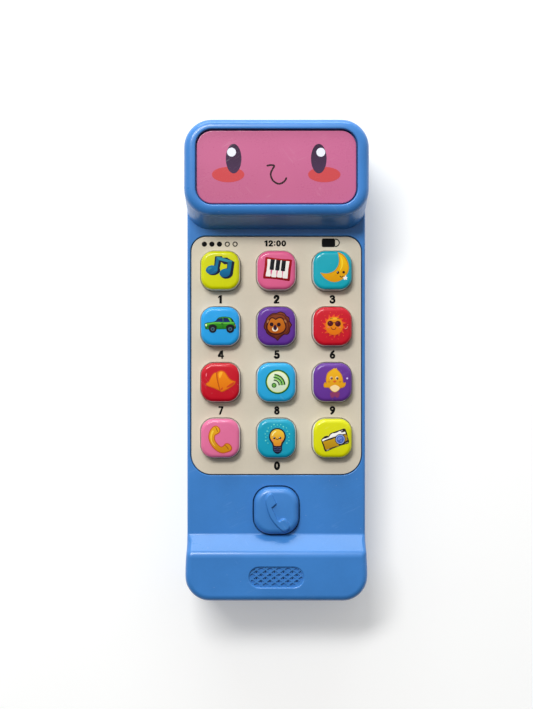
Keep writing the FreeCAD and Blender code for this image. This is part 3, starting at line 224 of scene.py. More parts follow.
def metal(name, colour, rough=0.32, brush=0, pits=0.25, tarnish=(0.25, 0.22, 0.2, 1.0)):
    """Plated or rolled metal: brushed or tumbled grain, dull patches, pits, and edges lightened as wear and as a
    painted edge highlight.
    """
    t = Tree(name)
    patch = t.noise(0.5, 4.0, rough=0.65)
    grain = t.noise(3.0, 3.0, t.turn(brush, (0.15, 3.0, 3.0))) if brush else t.noise(4.0, 4.0)
    pit = t.specks(1.6, 0.16, 0.2)
    col = t.mix(t.math("MULTIPLY", t.step(patch, 0.5, 0.75), 0.35), colour, times(colour, 0.62))
    col = t.mix(t.math("MULTIPLY", pit, pits), col, tarnish)
    # lighter edges: partly wear, partly a painted edge highlight
    col = t.mix(t.math("MULTIPLY", t.edge(0.15), 0.35), col, times(colour, 1.3))
    r = t.math("ADD", rough - 0.08, t.math("MULTIPLY", t.math("ADD", patch, grain), 0.12))
    height = t.math("SUBTRACT", grain, t.math("MULTIPLY", pit, 0.8))
    return t.out(Base_Color=col, Roughness=r, Metallic=1.0, Normal=t.bump(height, 0.004))


# --------------------------------------------------------------------------------------------------
# mesh helpers, in millimetres
# --------------------------------------------------------------------------------------------------
def make(name, verts, faces, material, body, ink=None, sharp=38, slots=None):
    """A mesh piece from millimetre coordinates, riding on a body."""
    me = bpy.data.meshes.new(name)
    me.from_pydata([(x * MM, y * MM, z * MM) for x, y, z in verts], [], faces)
    me.validate()
    me.update()
    me.shade_smooth()
    me.set_sharp_from_angle(angle=math.radians(sharp))
    for m in (material if isinstance(material, (list, tuple)) else [material]):
        me.materials.append(m)
    if slots:
        me.polygons.foreach_set("material_index", slots)
    if ink:
        layer = me.color_attributes.new("ink", "FLOAT_COLOR", "POINT")
        layer.data.foreach_set("color", [c for v in ink for c in v])
    ob = bpy.data.objects.new(name, me)
    scene.collection.objects.link(ob)
    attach(ob, body)
    return ob


def rounded_ring(w, h, r, corner=12, side=7):
    """Points round a rounded rectangle, counter-clockwise, the same number whatever its size."""
    r = max(1e-4, min(r, w / 2 - 1e-4, h / 2 - 1e-4))
    corners = []
    for sx, sy, a0 in ((1, 1, 0), (-1, 1, 90), (-1, -1, 180), (1, -1, 270)):
        cx, cy = sx * (w / 2 - r), sy * (h / 2 - r)
        corners.append([(cx + r * math.cos(math.radians(a0 + 90 * i / corner)),
                         cy + r * math.sin(math.radians(a0 + 90 * i / corner))) for i in range(corner + 1)])
    pts = []
    for k in range(4):
        pts += corners[k]
        (x0, y0), (x1, y1) = corners[k][-1], corners[(k + 1) % 4][0]
        pts += [(x0 + (x1 - x0) * i / (side + 1), y0 + (y1 - y0) * i / (side + 1)) for i in range(1, side + 1)]
    return pts


def inset(x, y, w, h, r):
    """How far a point lies inside a rounded rectangle's edge."""
    qx, qy = abs(x) - (w / 2 - r), abs(y) - (h / 2 - r)
    return r - math.hypot(max(qx, 0), max(qy, 0)) - min(max(qx, qy), 0)


def loft(rings):
    """Faces that join rings of equal count, the first and last closed with a fan. Returns verts, faces."""
    n = len(rings[0])
    verts = [p for ring in rings for p in ring]
    faces = []
    for k in range(len(rings) - 1):
        a, b = k * n, (k + 1) * n
        for i in range(n):
            j = (i + 1) % n
            faces.append((a + i, b + i, b + j, a + j))
    for k, flip in ((0, False), (len(rings) - 1, True)):
        ring = rings[k]
        c = len(verts)
        verts.append(tuple(sum(p[i] for p in ring) / n for i in range(3)))
        for i in range(n):
            j = (i + 1) % n
            faces.append((k * n + j, k * n + i, c) if flip else (k * n + i, k * n + j, c))
    return verts, faces


def smooth_line(points, closed=True, corners=(), steps=6):
    """A smooth line through the points, sharp at the listed corners."""
    n, out = len(points), []
    for i in range(n if closed else n - 1):
        p1, p2 = points[i], points[(i + 1) % n]
        p0 = points[i - 1] if (closed or i > 0) else p1
        p3 = points[(i + 2) % n] if (closed or i + 2 < n) else p2
        m1 = (0.0, 0.0) if i in corners else ((p2[0] - p0[0]) / 2, (p2[1] - p0[1]) / 2)
        m2 = (0.0, 0.0) if (i + 1) % n in corners else ((p3[0] - p1[0]) / 2, (p3[1] - p1[1]) / 2)
        for s in range(steps):
            u = s / steps
            a, b, c, d = 2 * u ** 3 - 3 * u ** 2 + 1, u ** 3 - 2 * u ** 2 + u, -2 * u ** 3 + 3 * u ** 2, u ** 3 - u ** 2
            out.append((a * p1[0] + b * m1[0] + c * p2[0] + d * m2[0], a * p1[1] + b * m1[1] + c * p2[1] + d * m2[1]))
    if not closed:
        out.append(points[-1])
    return out


def stroke(points, width, flat=False, smooth=True, corners=()):
    """The outline of a pen stroke."""
    line = smooth_line(points, False, corners) if smooth and len(points) > 2 else list(points)
    line = [p for i, p in enumerate(line) if i == 0 or math.dist(p, line[i - 1]) > 1e-4]
    left, right, h = [], [], width / 2
    for i, p in enumerate(line):
        a, b = line[max(i - 1, 0)], line[min(i + 1, len(line) - 1)]
        d = math.dist(a, b) or 1.0
        nx, ny = -(b[1] - a[1]) / d, (b[0] - a[0]) / d
        left.append((p[0] + nx * h, p[1] + ny * h))
        right.append((p[0] - nx * h, p[1] - ny * h))

    def cap(p, q):
        """Half a circle round p, starting from q."""
        if flat:
            return []
        a0 = math.atan2(q[1] - p[1], q[0] - p[0])
        return [(p[0] + h * math.cos(a0 - math.pi * k / 7), p[1] + h * math.sin(a0 - math.pi * k / 7)) for k in range(1, 7)]

    return left + cap(line[-1], left[-1]) + right[::-1] + cap(line[0], right[0])


def ellipse(cx, cy, rx, ry=None, rot=0.0, n=40):
    ry = rx if ry is None else ry
    c, s = math.cos(math.radians(rot)), math.sin(math.radians(rot))
    return [(cx + rx * math.cos(2 * math.pi * k / n) * c - ry * math.sin(2 * math.pi * k / n) * s,
             cy + rx * math.cos(2 * math.pi * k / n) * s + ry * math.sin(2 * math.pi * k / n) * c) for k in range(n)]


def area(pts):
    return sum(pts[i - 1][0] * p[1] - p[0] * pts[i - 1][1] for i, p in enumerate(pts)) / 2


def within(pts, x, y):
    odd = False
    for i, (x1, y1) in enumerate(pts):
        x0, y0 = pts[i - 1]
        if (y0 > y) != (y1 > y) and x < (x1 - x0) * (y - y0) / (y1 - y0) + x0:
            odd = not odd
    return odd


def near(pts, x, y):
    best = 1e9
    for i, (x1, y1) in enumerate(pts):
        x0, y0 = pts[i - 1]
        dx, dy = x1 - x0, y1 - y0
        u = max(0.0, min(1.0, ((x - x0) * dx + (y - y0) * dy) / (dx * dx + dy * dy + 1e-12)))
        best = min(best, math.hypot(x - x0 - u * dx, y - y0 - u * dy))
    return best


def triangles(outlines, spacing):
    """Triangles that cover the union of the outlines. Returns points and triangles, counter-clockwise."""
    verts, faces = [], []
    for o in outlines:
        if area(o) < 0:
            o = o[::-1]
        faces.append(list(range(len(verts), len(verts) + len(o))))
        verts += o
    if spacing:
        x0, x1 = min(v[0] for v in verts), max(v[0] for v in verts)
        y0, y1 = min(v[1] for v in verts), max(v[1] for v in verts)
        extra = []
        for i in range(1, int((x1 - x0) / spacing) + 1):
            for j in range(1, int((y1 - y0) / spacing) + 1):
                x, y = x0 + i * spacing + (0.13 if j % 2 else -0.1) * spacing, y0 + j * spacing
                if any(within(o, x, y) for o in outlines) and all(near(o, x, y) > 0.35 * spacing for o in outlines):
                    extra.append((x, y))
        verts += extra
    pts, _, tris, _, _, origin = delaunay_2d_cdt([Vector(v) for v in verts], [], faces, 0, 1e-5)
    keep = []
    for t, o in zip(tris, origin):
        if o:
            a, b, c = (pts[k] for k in t)
            turn = (b.x - a.x) * (c.y - a.y) - (b.y - a.y) * (c.x - a.x)
            if abs(turn) > 1e-9:
                keep.append(tuple(t) if turn > 0 else (t[0], t[2], t[1]))
    return [(p.x, p.y) for p in pts], keep


class Print:
    """Thin closed solids laid on a surface, one layer above another, gathered in one mesh."""

    def __init__(self, surface, base=0.035, step=0.005, sink=0.03, spacing=0.45):
        self.surface, self.base, self.step, self.sink, self.spacing = surface, base, step, sink, spacing
        self.verts, self.faces, self.ink, self.layer = [], [], [], 0

    def lay(self, outlines, colour, to=None, lift=None):
        pts, tris = triangles(outlines, self.spacing)
        used = sorted({k for t in tris for k in t})
        if not used:
            return
        top = self.base + self.step * self.layer if lift is None else lift
        self.layer += 1
        ys = [pts[k][1] for k in used]
        lo, hi = min(ys), max(ys)
        at, under = {}, {}
        for k in used:
            x, y = pts[k]
            z = self.surface(x, y)
            f = (hi - y) / (hi - lo + 1e-9)
            c = colour if to is None else tuple(a + (b - a) * f for a, b in zip(colour, to))
            at[k] = len(self.verts)
            self.verts.append((x, y, z + top))
            under[k] = len(self.verts)
            self.verts.append((x, y, z - self.sink))
            self.ink += [c, c]
        edges = {}
        for a, b, c in tris:
            self.faces.append((at[a], at[b], at[c]))
            self.faces.append((under[a], under[c], under[b]))
            for e in ((a, b), (b, c), (c, a)):
                edges[e] = True
        for a, b in list(edges):
            if (b, a) not in edges:
                self.faces.append((at[a], under[a], under[b], at[b]))

    def finish(self, name, material, body, at=(0.0, 0.0)):
        verts = [(x + at[0], y + at[1], z) for x, y, z in self.verts]
        return make(name, verts, self.faces, material, body, ink=self.ink)


# --------------------------------------------------------------------------------------------------
# colours
# --------------------------------------------------------------------------------------------------
LIGHT = 1.06  # how bright a white, upward face comes out


def seen(r, g, b, k=1.0):
    """The albedo that comes out as this display colour in the scene's light."""
    return times(lin(r, g, b), k / LIGHT)


BLUE = seen(60, 128, 202)
CREAM = seen(213, 203, 184)
PINK = seen(203, 106, 146)
KEYS = {
    "key_1": ("key_yellow", (213, 217, 0)), "key_2": ("key_pink", (225, 98, 144)), "key_3": ("key_teal", (16, 171, 190)),
    "key_4": ("key_sky", (36, 160, 230)), "key_5": ("key_purple", (97, 47, 151)), "key_6": ("key_red", (206, 18, 40)),
    "key_7": ("key_red", (194, 8, 34)), "key_8": ("key_sky", (36, 166, 220)), "key_9": ("key_purple", (102, 50, 150)),
    "key_call": ("key_pink", (223, 110, 153)), "key_0": ("key_teal", (14, 156, 186)), "key_camera": ("key_yellow", (218, 218, 0)),
}
WHITE = lin(250, 250, 250)
BLACK = lin(7, 7, 8)


# flat pictures on the keys, in millimetres about each key's centre: E ellipse, P polygon, S smooth outline, L pen
# stroke. The pictures' own light and dark tones are print; the few pale marks on the key faces beside them are painted
# highlights.
ICONS = {
    "key_1": [
        ("E", "navy", (-2.239, -0.108, 2.244, 1.571, 8), {}),
        ("P", "navy", [(-1.77, 4.74), (0.48, 4.78), (0.23, 2.54), (-0.38, -0.15), (-0.98, -1.09), (-2.33, -0.6), (-2.02, 2.31)], {}),
        ("P", "navy", [(-1.66, 4.78), (0.59, 4.83), (0.9, 4.29), (2.2, 4.38), (4.85, 2.85), (4.58, 1.42), (2.65, 2.09), (1.42, 2.05), (0.14, 2.94)], {}),
        ("P", "navy", [(2.43, 3.89), (4.85, 2.81), (4.36, -0.83), (3.55, -2.22), (1.75, -2.4), (2.25, 0.74)], {}),
        ("E", "navy", (2.158, -1.095, 2.199, 1.75, 10), {}),
        ("E", "note_blue", (-2.89, 0.184, 2.019, 1.526, 8), {'to': 'note_deep'}),
        ("P", "note_mid", [(-1.79, 0.92), (-1.39, 4.29), (-0.31, 4.29), (-0.67, 1.87), (-1.03, -0.2), (-2.24, -0.2)], {'to': 'note_blue'}),
        ("P", "note_teal", [(-1.43, 4.6), (-0.22, 4.56), (2.65, 3.66), (4.11, 3.17), (3.91, 2.5), (2.43, 2.76), (-0.38, 3.48)], {}),
        ("P", "note_mid", [(2.61, 3.03), (4, 2.94), (3.68, 0.74), (3.28, -1.27), (2.09, -1.27), (2.43, 0.74)], {'to': 'note_blue'}),
        ("E", "note_blue", (1.575, -0.915, 1.84, 1.436, 10), {'to': 'note_deep'}),
        ("E", "note_teal", (-3.63, 0.633, 0.763, 0.314, 20), {}),
    ],
    "key_2": [
        ("P", "piano_red", [(5.03, 3.67), (5.17, 3.62), (5.27, 3.53), (5.34, 3.41), (5.35, 3.27), (4.59, -3.33), (4.55, -3.46), (4.46, -3.57), (4.33, -3.63), (4.19, -3.65), (-4.2, -2.76), (-4.33, -2.72), (-4.44, -2.63), (-4.5, -2.51), (-4.51, -2.37), (-3.76, 4.23), (-3.71, 4.36), (-3.62, 4.47), (-3.5, 4.54), (-3.36, 4.55)], {'to': 'piano_red2'}),
        ("P", "piano_pink", [(4.42, 3.05), (4.47, 3.04), (4.51, 3), (4.53, 2.96), (4.54, 2.9), (3.89, -2.76), (3.87, -2.81), (3.84, -2.85), (3.79, -2.87), (3.74, -2.88), (-3.58, -2.11), (-3.63, -2.09), (-3.67, -2.06), (-3.69, -2.01), (-3.7, -1.96), (-3.05, 3.7), (-3.03, 3.75), (-3, 3.79), (-2.95, 3.82), (-2.9, 3.82)], {}),
        ("P", "ivory", [(-1.36, 3.68), (-1.32, 3.67), (-1.3, 3.65), (-1.28, 3.62), (-1.28, 3.58), (-1.9, -1.79), (-1.94, -1.92), (-2.03, -2.03), (-2.15, -2.09), (-2.29, -2.11), (-3.3, -2), (-3.43, -1.96), (-3.54, -1.87), (-3.6, -1.75), (-3.61, -1.61), (-3, 3.77), (-2.99, 3.8), (-2.96, 3.83), (-2.93, 3.84), (-2.9, 3.85)], {}),
        ("P", "ivory", [(0.54, 3.48), (0.57, 3.47), (0.6, 3.45), (0.61, 3.42), (0.62, 3.38), (-0.01, -2.08), (-0.05, -2.21), (-0.14, -2.32), (-0.27, -2.38), (-0.41, -2.4), (-1.41, -2.29), (-1.54, -2.25), (-1.65, -2.16), (-1.72, -2.04), (-1.73, -1.9), (-1.1, 3.57), (-1.09, 3.6), (-1.07, 3.63), (-1.03, 3.64), (-1, 3.65)], {}),
        ("P", "ivory", [(2.44, 3.28), (2.47, 3.27), (2.5, 3.25), (2.51, 3.22), (2.52, 3.19), (1.9, -2.19), (1.86, -2.32), (1.76, -2.43), (1.64, -2.49), (1.5, -2.51), (0.5, -2.4), (0.36, -2.36), (0.26, -2.27), (0.19, -2.15), (0.18, -2.01), (0.8, 3.37), (0.81, 3.4), (0.83, 3.43), (0.86, 3.44), (0.9, 3.45)], {}),
        ("P", "ivory", [(4.33, 3.08), (4.37, 3.07), (4.39, 3.05), (4.41, 3.02), (4.41, 2.99), (3.79, -2.48), (3.74, -2.61), (3.65, -2.72), (3.53, -2.78), (3.39, -2.79), (2.38, -2.69), (2.25, -2.65), (2.14, -2.56), (2.08, -2.43), (2.07, -2.29), (2.69, 3.17), (2.7, 3.2), (2.73, 3.23), (2.76, 3.24), (2.79, 3.25)], {}),
        ("P", "ebony", [(-0.55, 3.64), (-0.52, 3.64), (-0.5, 3.62), (-0.49, 3.6), (-0.49, 3.57), (-0.87, 0.27), (-0.9, 0.19), (-0.95, 0.12), (-1.03, 0.08), (-1.12, 0.07), (-2.1, 0.17), (-2.18, 0.2), (-2.25, 0.26), (-2.29, 0.33), (-2.3, 0.42), (-1.92, 3.72), (-1.91, 3.75), (-1.89, 3.77), (-1.87, 3.78), (-1.84, 3.78)], {}),
        ("P", "ebony_lit", [(-1.48, 3.58), (-1.47, 3.58), (-1.45, 3.57), (-1.44, 3.55), (-1.44, 3.53), (-1.75, 0.86), (-1.76, 0.83), (-1.78, 0.8), (-1.81, 0.78), (-1.85, 0.78), (-1.94, 0.79), (-1.97, 0.8), (-2, 0.82), (-2.01, 0.85), (-2.02, 0.89), (-1.71, 3.56), (-1.71, 3.58), (-1.69, 3.59), (-1.68, 3.6), (-1.66, 3.6)], {}),
        ("P", "ebony", [(1.35, 3.44), (1.37, 3.44), (1.39, 3.42), (1.41, 3.4), (1.41, 3.37), (1.03, 0.07), (1, -0.01), (0.94, -0.08), (0.87, -0.12), (0.78, -0.13), (-0.2, -0.03), (-0.29, 0), (-0.35, 0.06), (-0.39, 0.13), (-0.4, 0.22), (-0.02, 3.52), (-0.01, 3.54), (0, 3.56), (0.03, 3.58), (0.05, 3.58)], {}),
        ("P", "ebony_lit", [(0.41, 3.38), (0.43, 3.38), (0.45, 3.37), (0.45, 3.35), (0.45, 3.33), (0.15, 0.66), (0.14, 0.63), (0.11, 0.6), (0.08, 0.58), (0.05, 0.58), (-0.04, 0.59), (-0.07, 0.6), (-0.1, 0.62), (-0.12, 0.65), (-0.12, 0.69), (0.19, 3.36), (0.19, 3.38), (0.2, 3.39), (0.22, 3.4), (0.24, 3.4)], {}),
        ("P", "ebony", [(3.24, 3.24), (3.27, 3.24), (3.29, 3.22), (3.3, 3.2), (3.3, 3.17), (2.92, -0.13), (2.9, -0.21), (2.84, -0.28), (2.76, -0.32), (2.68, -0.33), (1.69, -0.23), (1.61, -0.2), (1.54, -0.14), (1.5, -0.07), (1.5, 0.02), (1.88, 3.32), (1.88, 3.35), (1.9, 3.37), (1.92, 3.38), (1.95, 3.38)], {}),
        ("P", "ebony_lit", [(2.31, 3.18), (2.33, 3.18), (2.34, 3.17), (2.35, 3.15), (2.35, 3.13), (2.04, 0.46), (2.03, 0.43), (2.01, 0.4), (1.98, 0.38), (1.95, 0.38), (1.85, 0.39), (1.82, 0.4), (1.79, 0.42), (1.78, 0.45), (1.78, 0.49), (2.08, 3.16), (2.09, 3.18), (2.1, 3.19), (2.12, 3.2), (2.13, 3.2)], {}),
    ],
    "key_3": [
        ("S", "moon_edge", [(1.76, 6.22), (3.37, 5.59), (4.72, 4.07), (5.48, 2.09), (5.57, 0.25), (4.81, -1.5), (3.33, -3.07), (1.4, -3.92), (-0.76, -3.77), (-2.73, -2.62), (-4.21, -0.74), (-2.6, -1.05), (-0.98, -0.89), (0.55, -0.17), (1.62, 1.1), (2.16, 2.58), (2.16, 4.38)], {'corner': [0, 10], 'to': 'moon_deep'}),
        ("S", "moon", [(2.07, 5.64), (3.26, 5.1), (4.45, 3.71), (5.14, 1.98), (5.26, 0.36), (4.52, -1.21), (3.12, -2.71), (1.31, -3.5), (-0.62, -3.34), (-2.33, -2.33), (-3.45, -1.14), (-2.19, -1.3), (-0.67, -1.14), (0.86, -0.44), (1.94, 0.92), (2.48, 2.58), (2.48, 4.29)], {'corner': [0, 10], 'to': 'moon_deep'}),
        ("S", "moon_lit", [(2.88, 4.56), (3.37, 3.89), (3.6, 2.54), (3.33, 0.97), (2.48, -0.2), (2.88, 1.19), (3.06, 2.76)], {}),
        ("E", "cocoa", (1.824, -0.758, 0.449, 0.516, -10), {}),
        ("E", "cocoa", (3.776, -0.646, 0.449, 0.449, 10), {}),
        ("E", "white", (1.712, -0.579, 0.112, 0.112, 0), {}),
        ("E", "moon_deep", (1.129, -1.723, 0.449, 0.269, 0), {}),
        ("L", "cocoa", [(2.52, -1.95), (3.06, -2.31), (3.64, -1.95)], {'w': 0.269}),
        ("P", "white", [(4.49, -1.54), (4.76, -2.22), (5.12, -2.4), (4.9, -2.8), (4.94, -3.25), (4.4, -3.11), (3.87, -3.25), (3.82, -2.8), (3.51, -2.49), (4.18, -2.22)], {}),
    ],
    "key_4": [
        ("S", "car_dark", [(-5.29, 0.96), (-4.42, 1.32), (-1.88, 1.73), (-0.71, 2.89), (0.63, 3.3), (2.54, 3.25), (3.77, 2.85), (4.58, 1.86), (5.17, 0.67), (5.34, -0.34), (4.78, -0.88), (1.98, -0.92), (-0.71, -0.96), (-4.42, -1.01), (-5.11, -0.65), (-5.29, 0.22)], {}),
        ("S", "car", [(-5.11, 0.83), (-4.3, 1.17), (-1.79, 1.55), (-0.62, 2.71), (0.68, 3.1), (2.47, 3.05), (3.59, 2.67), (4.36, 1.73), (4.96, 0.61), (5.12, -0.25), (4.67, -0.7), (1.98, -0.74), (-0.71, -0.79), (-4.3, -0.83), (-4.93, -0.52), (-5.11, 0.16)], {'to': 'car_low'}),
        ("S", "car_lit", [(-4.75, 0.9), (-3.63, 1.14), (-1.61, 1.46), (0.41, 1.37), (2.65, 1.37), (4.45, 1.46), (4.72, 1.1), (2.65, 0.96), (0.41, 0.92), (-1.61, 1.01), (-3.63, 0.74), (-4.53, 0.52)], {}),
        ("P", "glass_navy", [(-1.79, 1.46), (-0.62, 2.71), (0.81, 2.94), (0.92, 1.46)], {'to': 'glass_blue'}),
        ("P", "glass_navy", [(1.04, 2.96), (2.52, 2.89), (3.37, 1.59), (3.33, 1.46), (1.04, 1.46)], {'to': 'glass_blue'}),
        ("P", "glass_navy", [(3.62, 2.58), (4, 2.31), (4.63, 1.46), (4.13, 1.53)], {}),
        ("P", "car_lit", [(2.65, 2.98), (3.1, 2.89), (3.73, 1.68), (3.46, 1.59)], {}),
        ("E", "car_dark", (0.588, 0.897, 0.359, 0.157, 0), {}),
        ("L", "car_dark", [(0.95, 1.46), (0.95, -0.61)], {'w': 0.112}),
        ("S", "tyre", [(-4.03, -0.16), (-3.45, 0.47), (-2.55, 0.7), (-1.66, 0.47), (-1.07, -0.16), (-1.66, -0.79), (-3.45, -0.79)], {}),
        ("E", "tyre", (-2.553, -0.897, 1.301, 1.256, 0), {}),
        ("E", "hub_rim", (-2.553, -0.897, 0.74, 0.718, 0), {}),
        ("E", "hub", (-2.553, -0.897, 0.606, 0.583, 0), {}),
        ("E", "tyre", (-2.553, -0.897, 0.247, 0.247, 0), {}),
        ("E", "hub_dark", (-2.149, -0.897, 0.112, 0.112, 0), {}),
        ("E", "hub_dark", (-2.351, -1.228, 0.112, 0.112, 0), {}),
        ("E", "hub_dark", (-2.755, -1.228, 0.112, 0.112, 0), {}),
        ("E", "hub_dark", (-2.957, -0.897, 0.112, 0.112, 0), {}),
        ("E", "hub_dark", (-2.755, -0.567, 0.112, 0.112, 0), {}),
        ("E", "hub_dark", (-2.351, -0.567, 0.112, 0.112, 0), {}),
        ("S", "tyre", [(1.91, -0.16), (2.5, 0.47), (3.39, 0.7), (4.29, 0.47), (4.87, -0.16), (4.29, -0.79), (2.5, -0.79)], {}),
        ("E", "tyre", (3.392, -0.897, 1.301, 1.256, 0), {}),
        ("E", "hub_rim", (3.392, -0.897, 0.74, 0.718, 0), {}),
        ("E", "hub", (3.392, -0.897, 0.606, 0.583, 0), {}),
        ("E", "tyre", (3.392, -0.897, 0.247, 0.247, 0), {}),
        ("E", "hub_dark", (3.796, -0.897, 0.112, 0.112, 0), {}),
        ("E", "hub_dark", (3.594, -1.228, 0.112, 0.112, 0), {}),
        ("E", "hub_dark", (3.19, -1.228, 0.112, 0.112, 0), {}),
        ("E", "hub_dark", (2.989, -0.897, 0.112, 0.112, 0), {}),
        ("E", "hub_dark", (3.19, -0.567, 0.112, 0.112, 0), {}),
        ("E", "hub_dark", (3.594, -0.567, 0.112, 0.112, 0), {}),
        ("E", "lamp", (-4.797, 0.449, 0.314, 0.449, 12), {}),
        ("E", "lamp_red", (5.075, 0.337, 0.135, 0.314, 0), {}),
    ],
    "key_5": [
        ("S", "lion_dark", [(1.53, 5.09), (2.81, 4.6), (3.42, 3.79), (4.45, 2.98), (4.6, 1.79), (5.3, 0.61), (4.76, -0.61), (4.67, -1.68), (3.86, -2.76), (2.65, -2.85), (1.53, -3.7), (0.41, -4.87), (-0.22, -4.29), (-1.45, -3.66), (-2.24, -3.21), (-3.32, -2.36), (-3.72, -1.35), (-4.3, -0.45), (-4.21, 0.79), (-3.77, 1.82), (-3.32, 2.89), (-2.28, 3.97), (-1.12, 4.6), (0, 4.64), (0.72, 4.91)], {}),
        ("S", "lion_mane", [(1.43, 4.72), (2.61, 4.27), (3.16, 3.52), (4.11, 2.78), (4.26, 1.69), (4.9, 0.59), (4.4, -0.52), (4.32, -1.51), (3.58, -2.5), (2.46, -2.59), (1.43, -3.37), (0.4, -4.44), (-0.18, -3.91), (-1.32, -3.33), (-2.04, -2.92), (-3.03, -2.13), (-3.4, -1.2), (-3.94, -0.38), (-3.85, 0.76), (-3.44, 1.71), (-3.03, 2.7), (-2.08, 3.69), (-1.01, 4.27), (0.03, 4.31), (0.69, 4.56)], {'to': 'lion_mane2'}),
        ("L", "lion_strand", [(-2.24, 3.37), (-0.89, 4.04), (0.79, 4.15), (2.25, 3.81)], {'w': 0.269}),
        ("L", "lion_strand", [(2.02, 4.04), (3.37, 2.92), (4.16, 1.46)], {'w': 0.269}),
        ("L", "lion_strand", [(2.92, 2.92), (3.86, 1.46), (4.27, -0.11)], {'w': 0.269}),
        ("L", "lion_strand", [(4.31, 0.11), (3.93, -1.46), (3.26, -2.24)], {'w': 0.269}),
        ("L", "lion_strand", [(-3.36, 1.68), (-3.58, 0.34), (-3.25, -1.23)], {'w': 0.269}),
        ("L", "lion_strand", [(-3.14, -1.79), (-1.9, -2.76), (-0.67, -3.37)], {'w': 0.269}),
        ("L", "lion_strand", [(0, -4.04), (1.35, -3.14), (2.7, -2.36)], {'w': 0.269}),
        ("S", "lion_dark", [(-1.83, 3.07), (-0.94, 3.07), (-0.27, 2.67), (0.56, 3.12), (1.62, 3.21), (2.52, 2.58), (3.15, 1.12), (3.42, -0.45), (2.65, -1.95), (1.4, -2.62), (-0.11, -2.85), (-1.83, -2.54), (-3.09, -1.46), (-3.45, -0.16), (-3.09, 1.23), (-2.58, 2.31)], {}),
        ("S", "lion_face", [(-1.68, 2.67), (-0.89, 2.62), (-0.27, 2.22), (0.63, 2.67), (1.53, 2.76), (2.25, 2.18), (2.79, 0.9), (3.01, -0.38), (2.34, -1.59), (1.24, -2.18), (-0.11, -2.36), (-1.7, -2.09), (-2.69, -1.23), (-3, -0.2), (-2.69, 1.05), (-2.24, 2.02)], {'to': 'lion_face2'}),
        ("E", "lion_ear", (-2.867, 1.683, 0.269, 0.606, -28), {}),
        ("E", "lion_ear", (3.056, 1.795, 0.269, 0.606, 30), {}),
        ("E", "lion_eye", (-1.611, 0.696, 0.651, 0.673, 0), {}),
        ("E", "lion_eye", (0.835, 0.628, 0.673, 0.673, 0), {}),
        ("S", "cream_print", [(-0.44, 0.29), (0.14, -0.16), (0.59, -0.83), (0.27, -1.46), (-0.44, -1.73), (-1.16, -1.46), (-1.48, -0.83), (-1.03, -0.16)], {}),
        ("S", "lion_nose", [(-0.44, 0.56), (0.14, -0.16), (0.18, -0.79), (-0.4, -1.37), (-1.03, -0.79), (-0.98, -0.16)], {}),
        ("L", "lion_dark", [(-2.24, -1.95), (-1.12, -2.4), (-0.11, -2.54), (1.13, -2.36), (2.16, -1.82)], {'w': 0.224}),
    ],
    "key_6": [
        ("S", "sun_ray", [(3.46, 0.39), (3.87, 0.21), (4.15, -0.18), (4.43, -0.69), (4.15, -0.7), (3.74, -0.66), (3.31, -0.68)], {'corner': [3]}),
        ("E", "sun_dot", (4.925, -1.483, 0.112, 0.112, 0), {}),
        ("S", "sun_ray", [(3.24, -0.87), (3.53, -1.2), (3.62, -1.69), (3.92, -2.49), (3.38, -2.15), (3.04, -1.93), (2.63, -1.77)], {'corner': [3]}),
        ("E", "sun_dot", (3.745, -3.192, 0.157, 0.157, 0), {}),
        ("S", "sun_ray", [(2.49, -1.91), (2.61, -2.33), (2.48, -2.81), (2.25, -3.34), (2.07, -3.12), (1.85, -2.78), (1.56, -2.46)], {'corner': [3]}),
        ("E", "sun_dot", (1.941, -4.22, 0.112, 0.112, 0), {}),
        ("S", "sun_ray", [(1.37, -2.52), (1.29, -2.95), (0.97, -3.32), (0.52, -4.06), (0.46, -3.43), (0.41, -3.02), (0.29, -2.61)], {'corner': [3]}),
        ("E", "sun_dot", (-0.131, -4.364, 0.157, 0.157, 0), {}),
        ("S", "sun_ray", [(0.09, -2.58), (-0.17, -2.94), (-0.62, -3.13), (-1.18, -3.28), (-1.12, -3.01), (-0.99, -2.62), (-0.92, -2.19)], {'corner': [3]}),
        ("E", "sun_dot", (-2.06, -3.594, 0.112, 0.112, 0), {}),
        ("S", "sun_ray", [(-1.08, -2.09), (-1.48, -2.29), (-1.97, -2.27), (-2.82, -2.39), (-2.37, -1.95), (-2.08, -1.65), (-1.83, -1.3)], {'corner': [3]}),
        ("E", "sun_dot", (-3.465, -2.064, 0.157, 0.157, 0), {}),
        ("S", "sun_ray", [(-1.93, -1.13), (-2.38, -1.15), (-2.81, -0.91), (-3.27, -0.57), (-3.02, -0.45), (-2.64, -0.3), (-2.26, -0.1)], {'corner': [3]}),
        ("E", "sun_dot", (-4.066, -0.076, 0.112, 0.112, 0), {}),
        ("S", "sun_ray", [(-2.28, 0.1), (-2.69, 0.28), (-2.97, 0.68), (-3.6, 1.27), (-2.97, 1.19), (-2.56, 1.15), (-2.13, 1.18)], {'corner': [3]}),
        ("E", "sun_dot", (-3.744, 1.976, 0.157, 0.157, 0), {}),
        ("S", "sun_ray", [(-2.06, 1.36), (-2.35, 1.7), (-2.44, 2.18), (-2.46, 2.76), (-2.2, 2.64), (-1.85, 2.43), (-1.46, 2.26)], {'corner': [3]}),
        ("E", "sun_dot", (-2.565, 3.686, 0.112, 0.112, 0), {}),
        ("S", "sun_ray", [(-1.31, 2.4), (-1.43, 2.83), (-1.3, 3.3), (-1.22, 4.16), (-0.89, 3.62), (-0.67, 3.27), (-0.38, 2.95)], {'corner': [3]}),
        ("E", "sun_dot", (-0.76, 4.714, 0.157, 0.157, 0), {}),
        ("S", "sun_ray", [(-0.19, 3.01), (-0.11, 3.45), (0.21, 3.82), (0.65, 4.2), (0.72, 3.92), (0.77, 3.52), (0.89, 3.1)], {'corner': [3]}),
        ("E", "sun_dot", (1.312, 4.858, 0.112, 0.112, 0), {}),
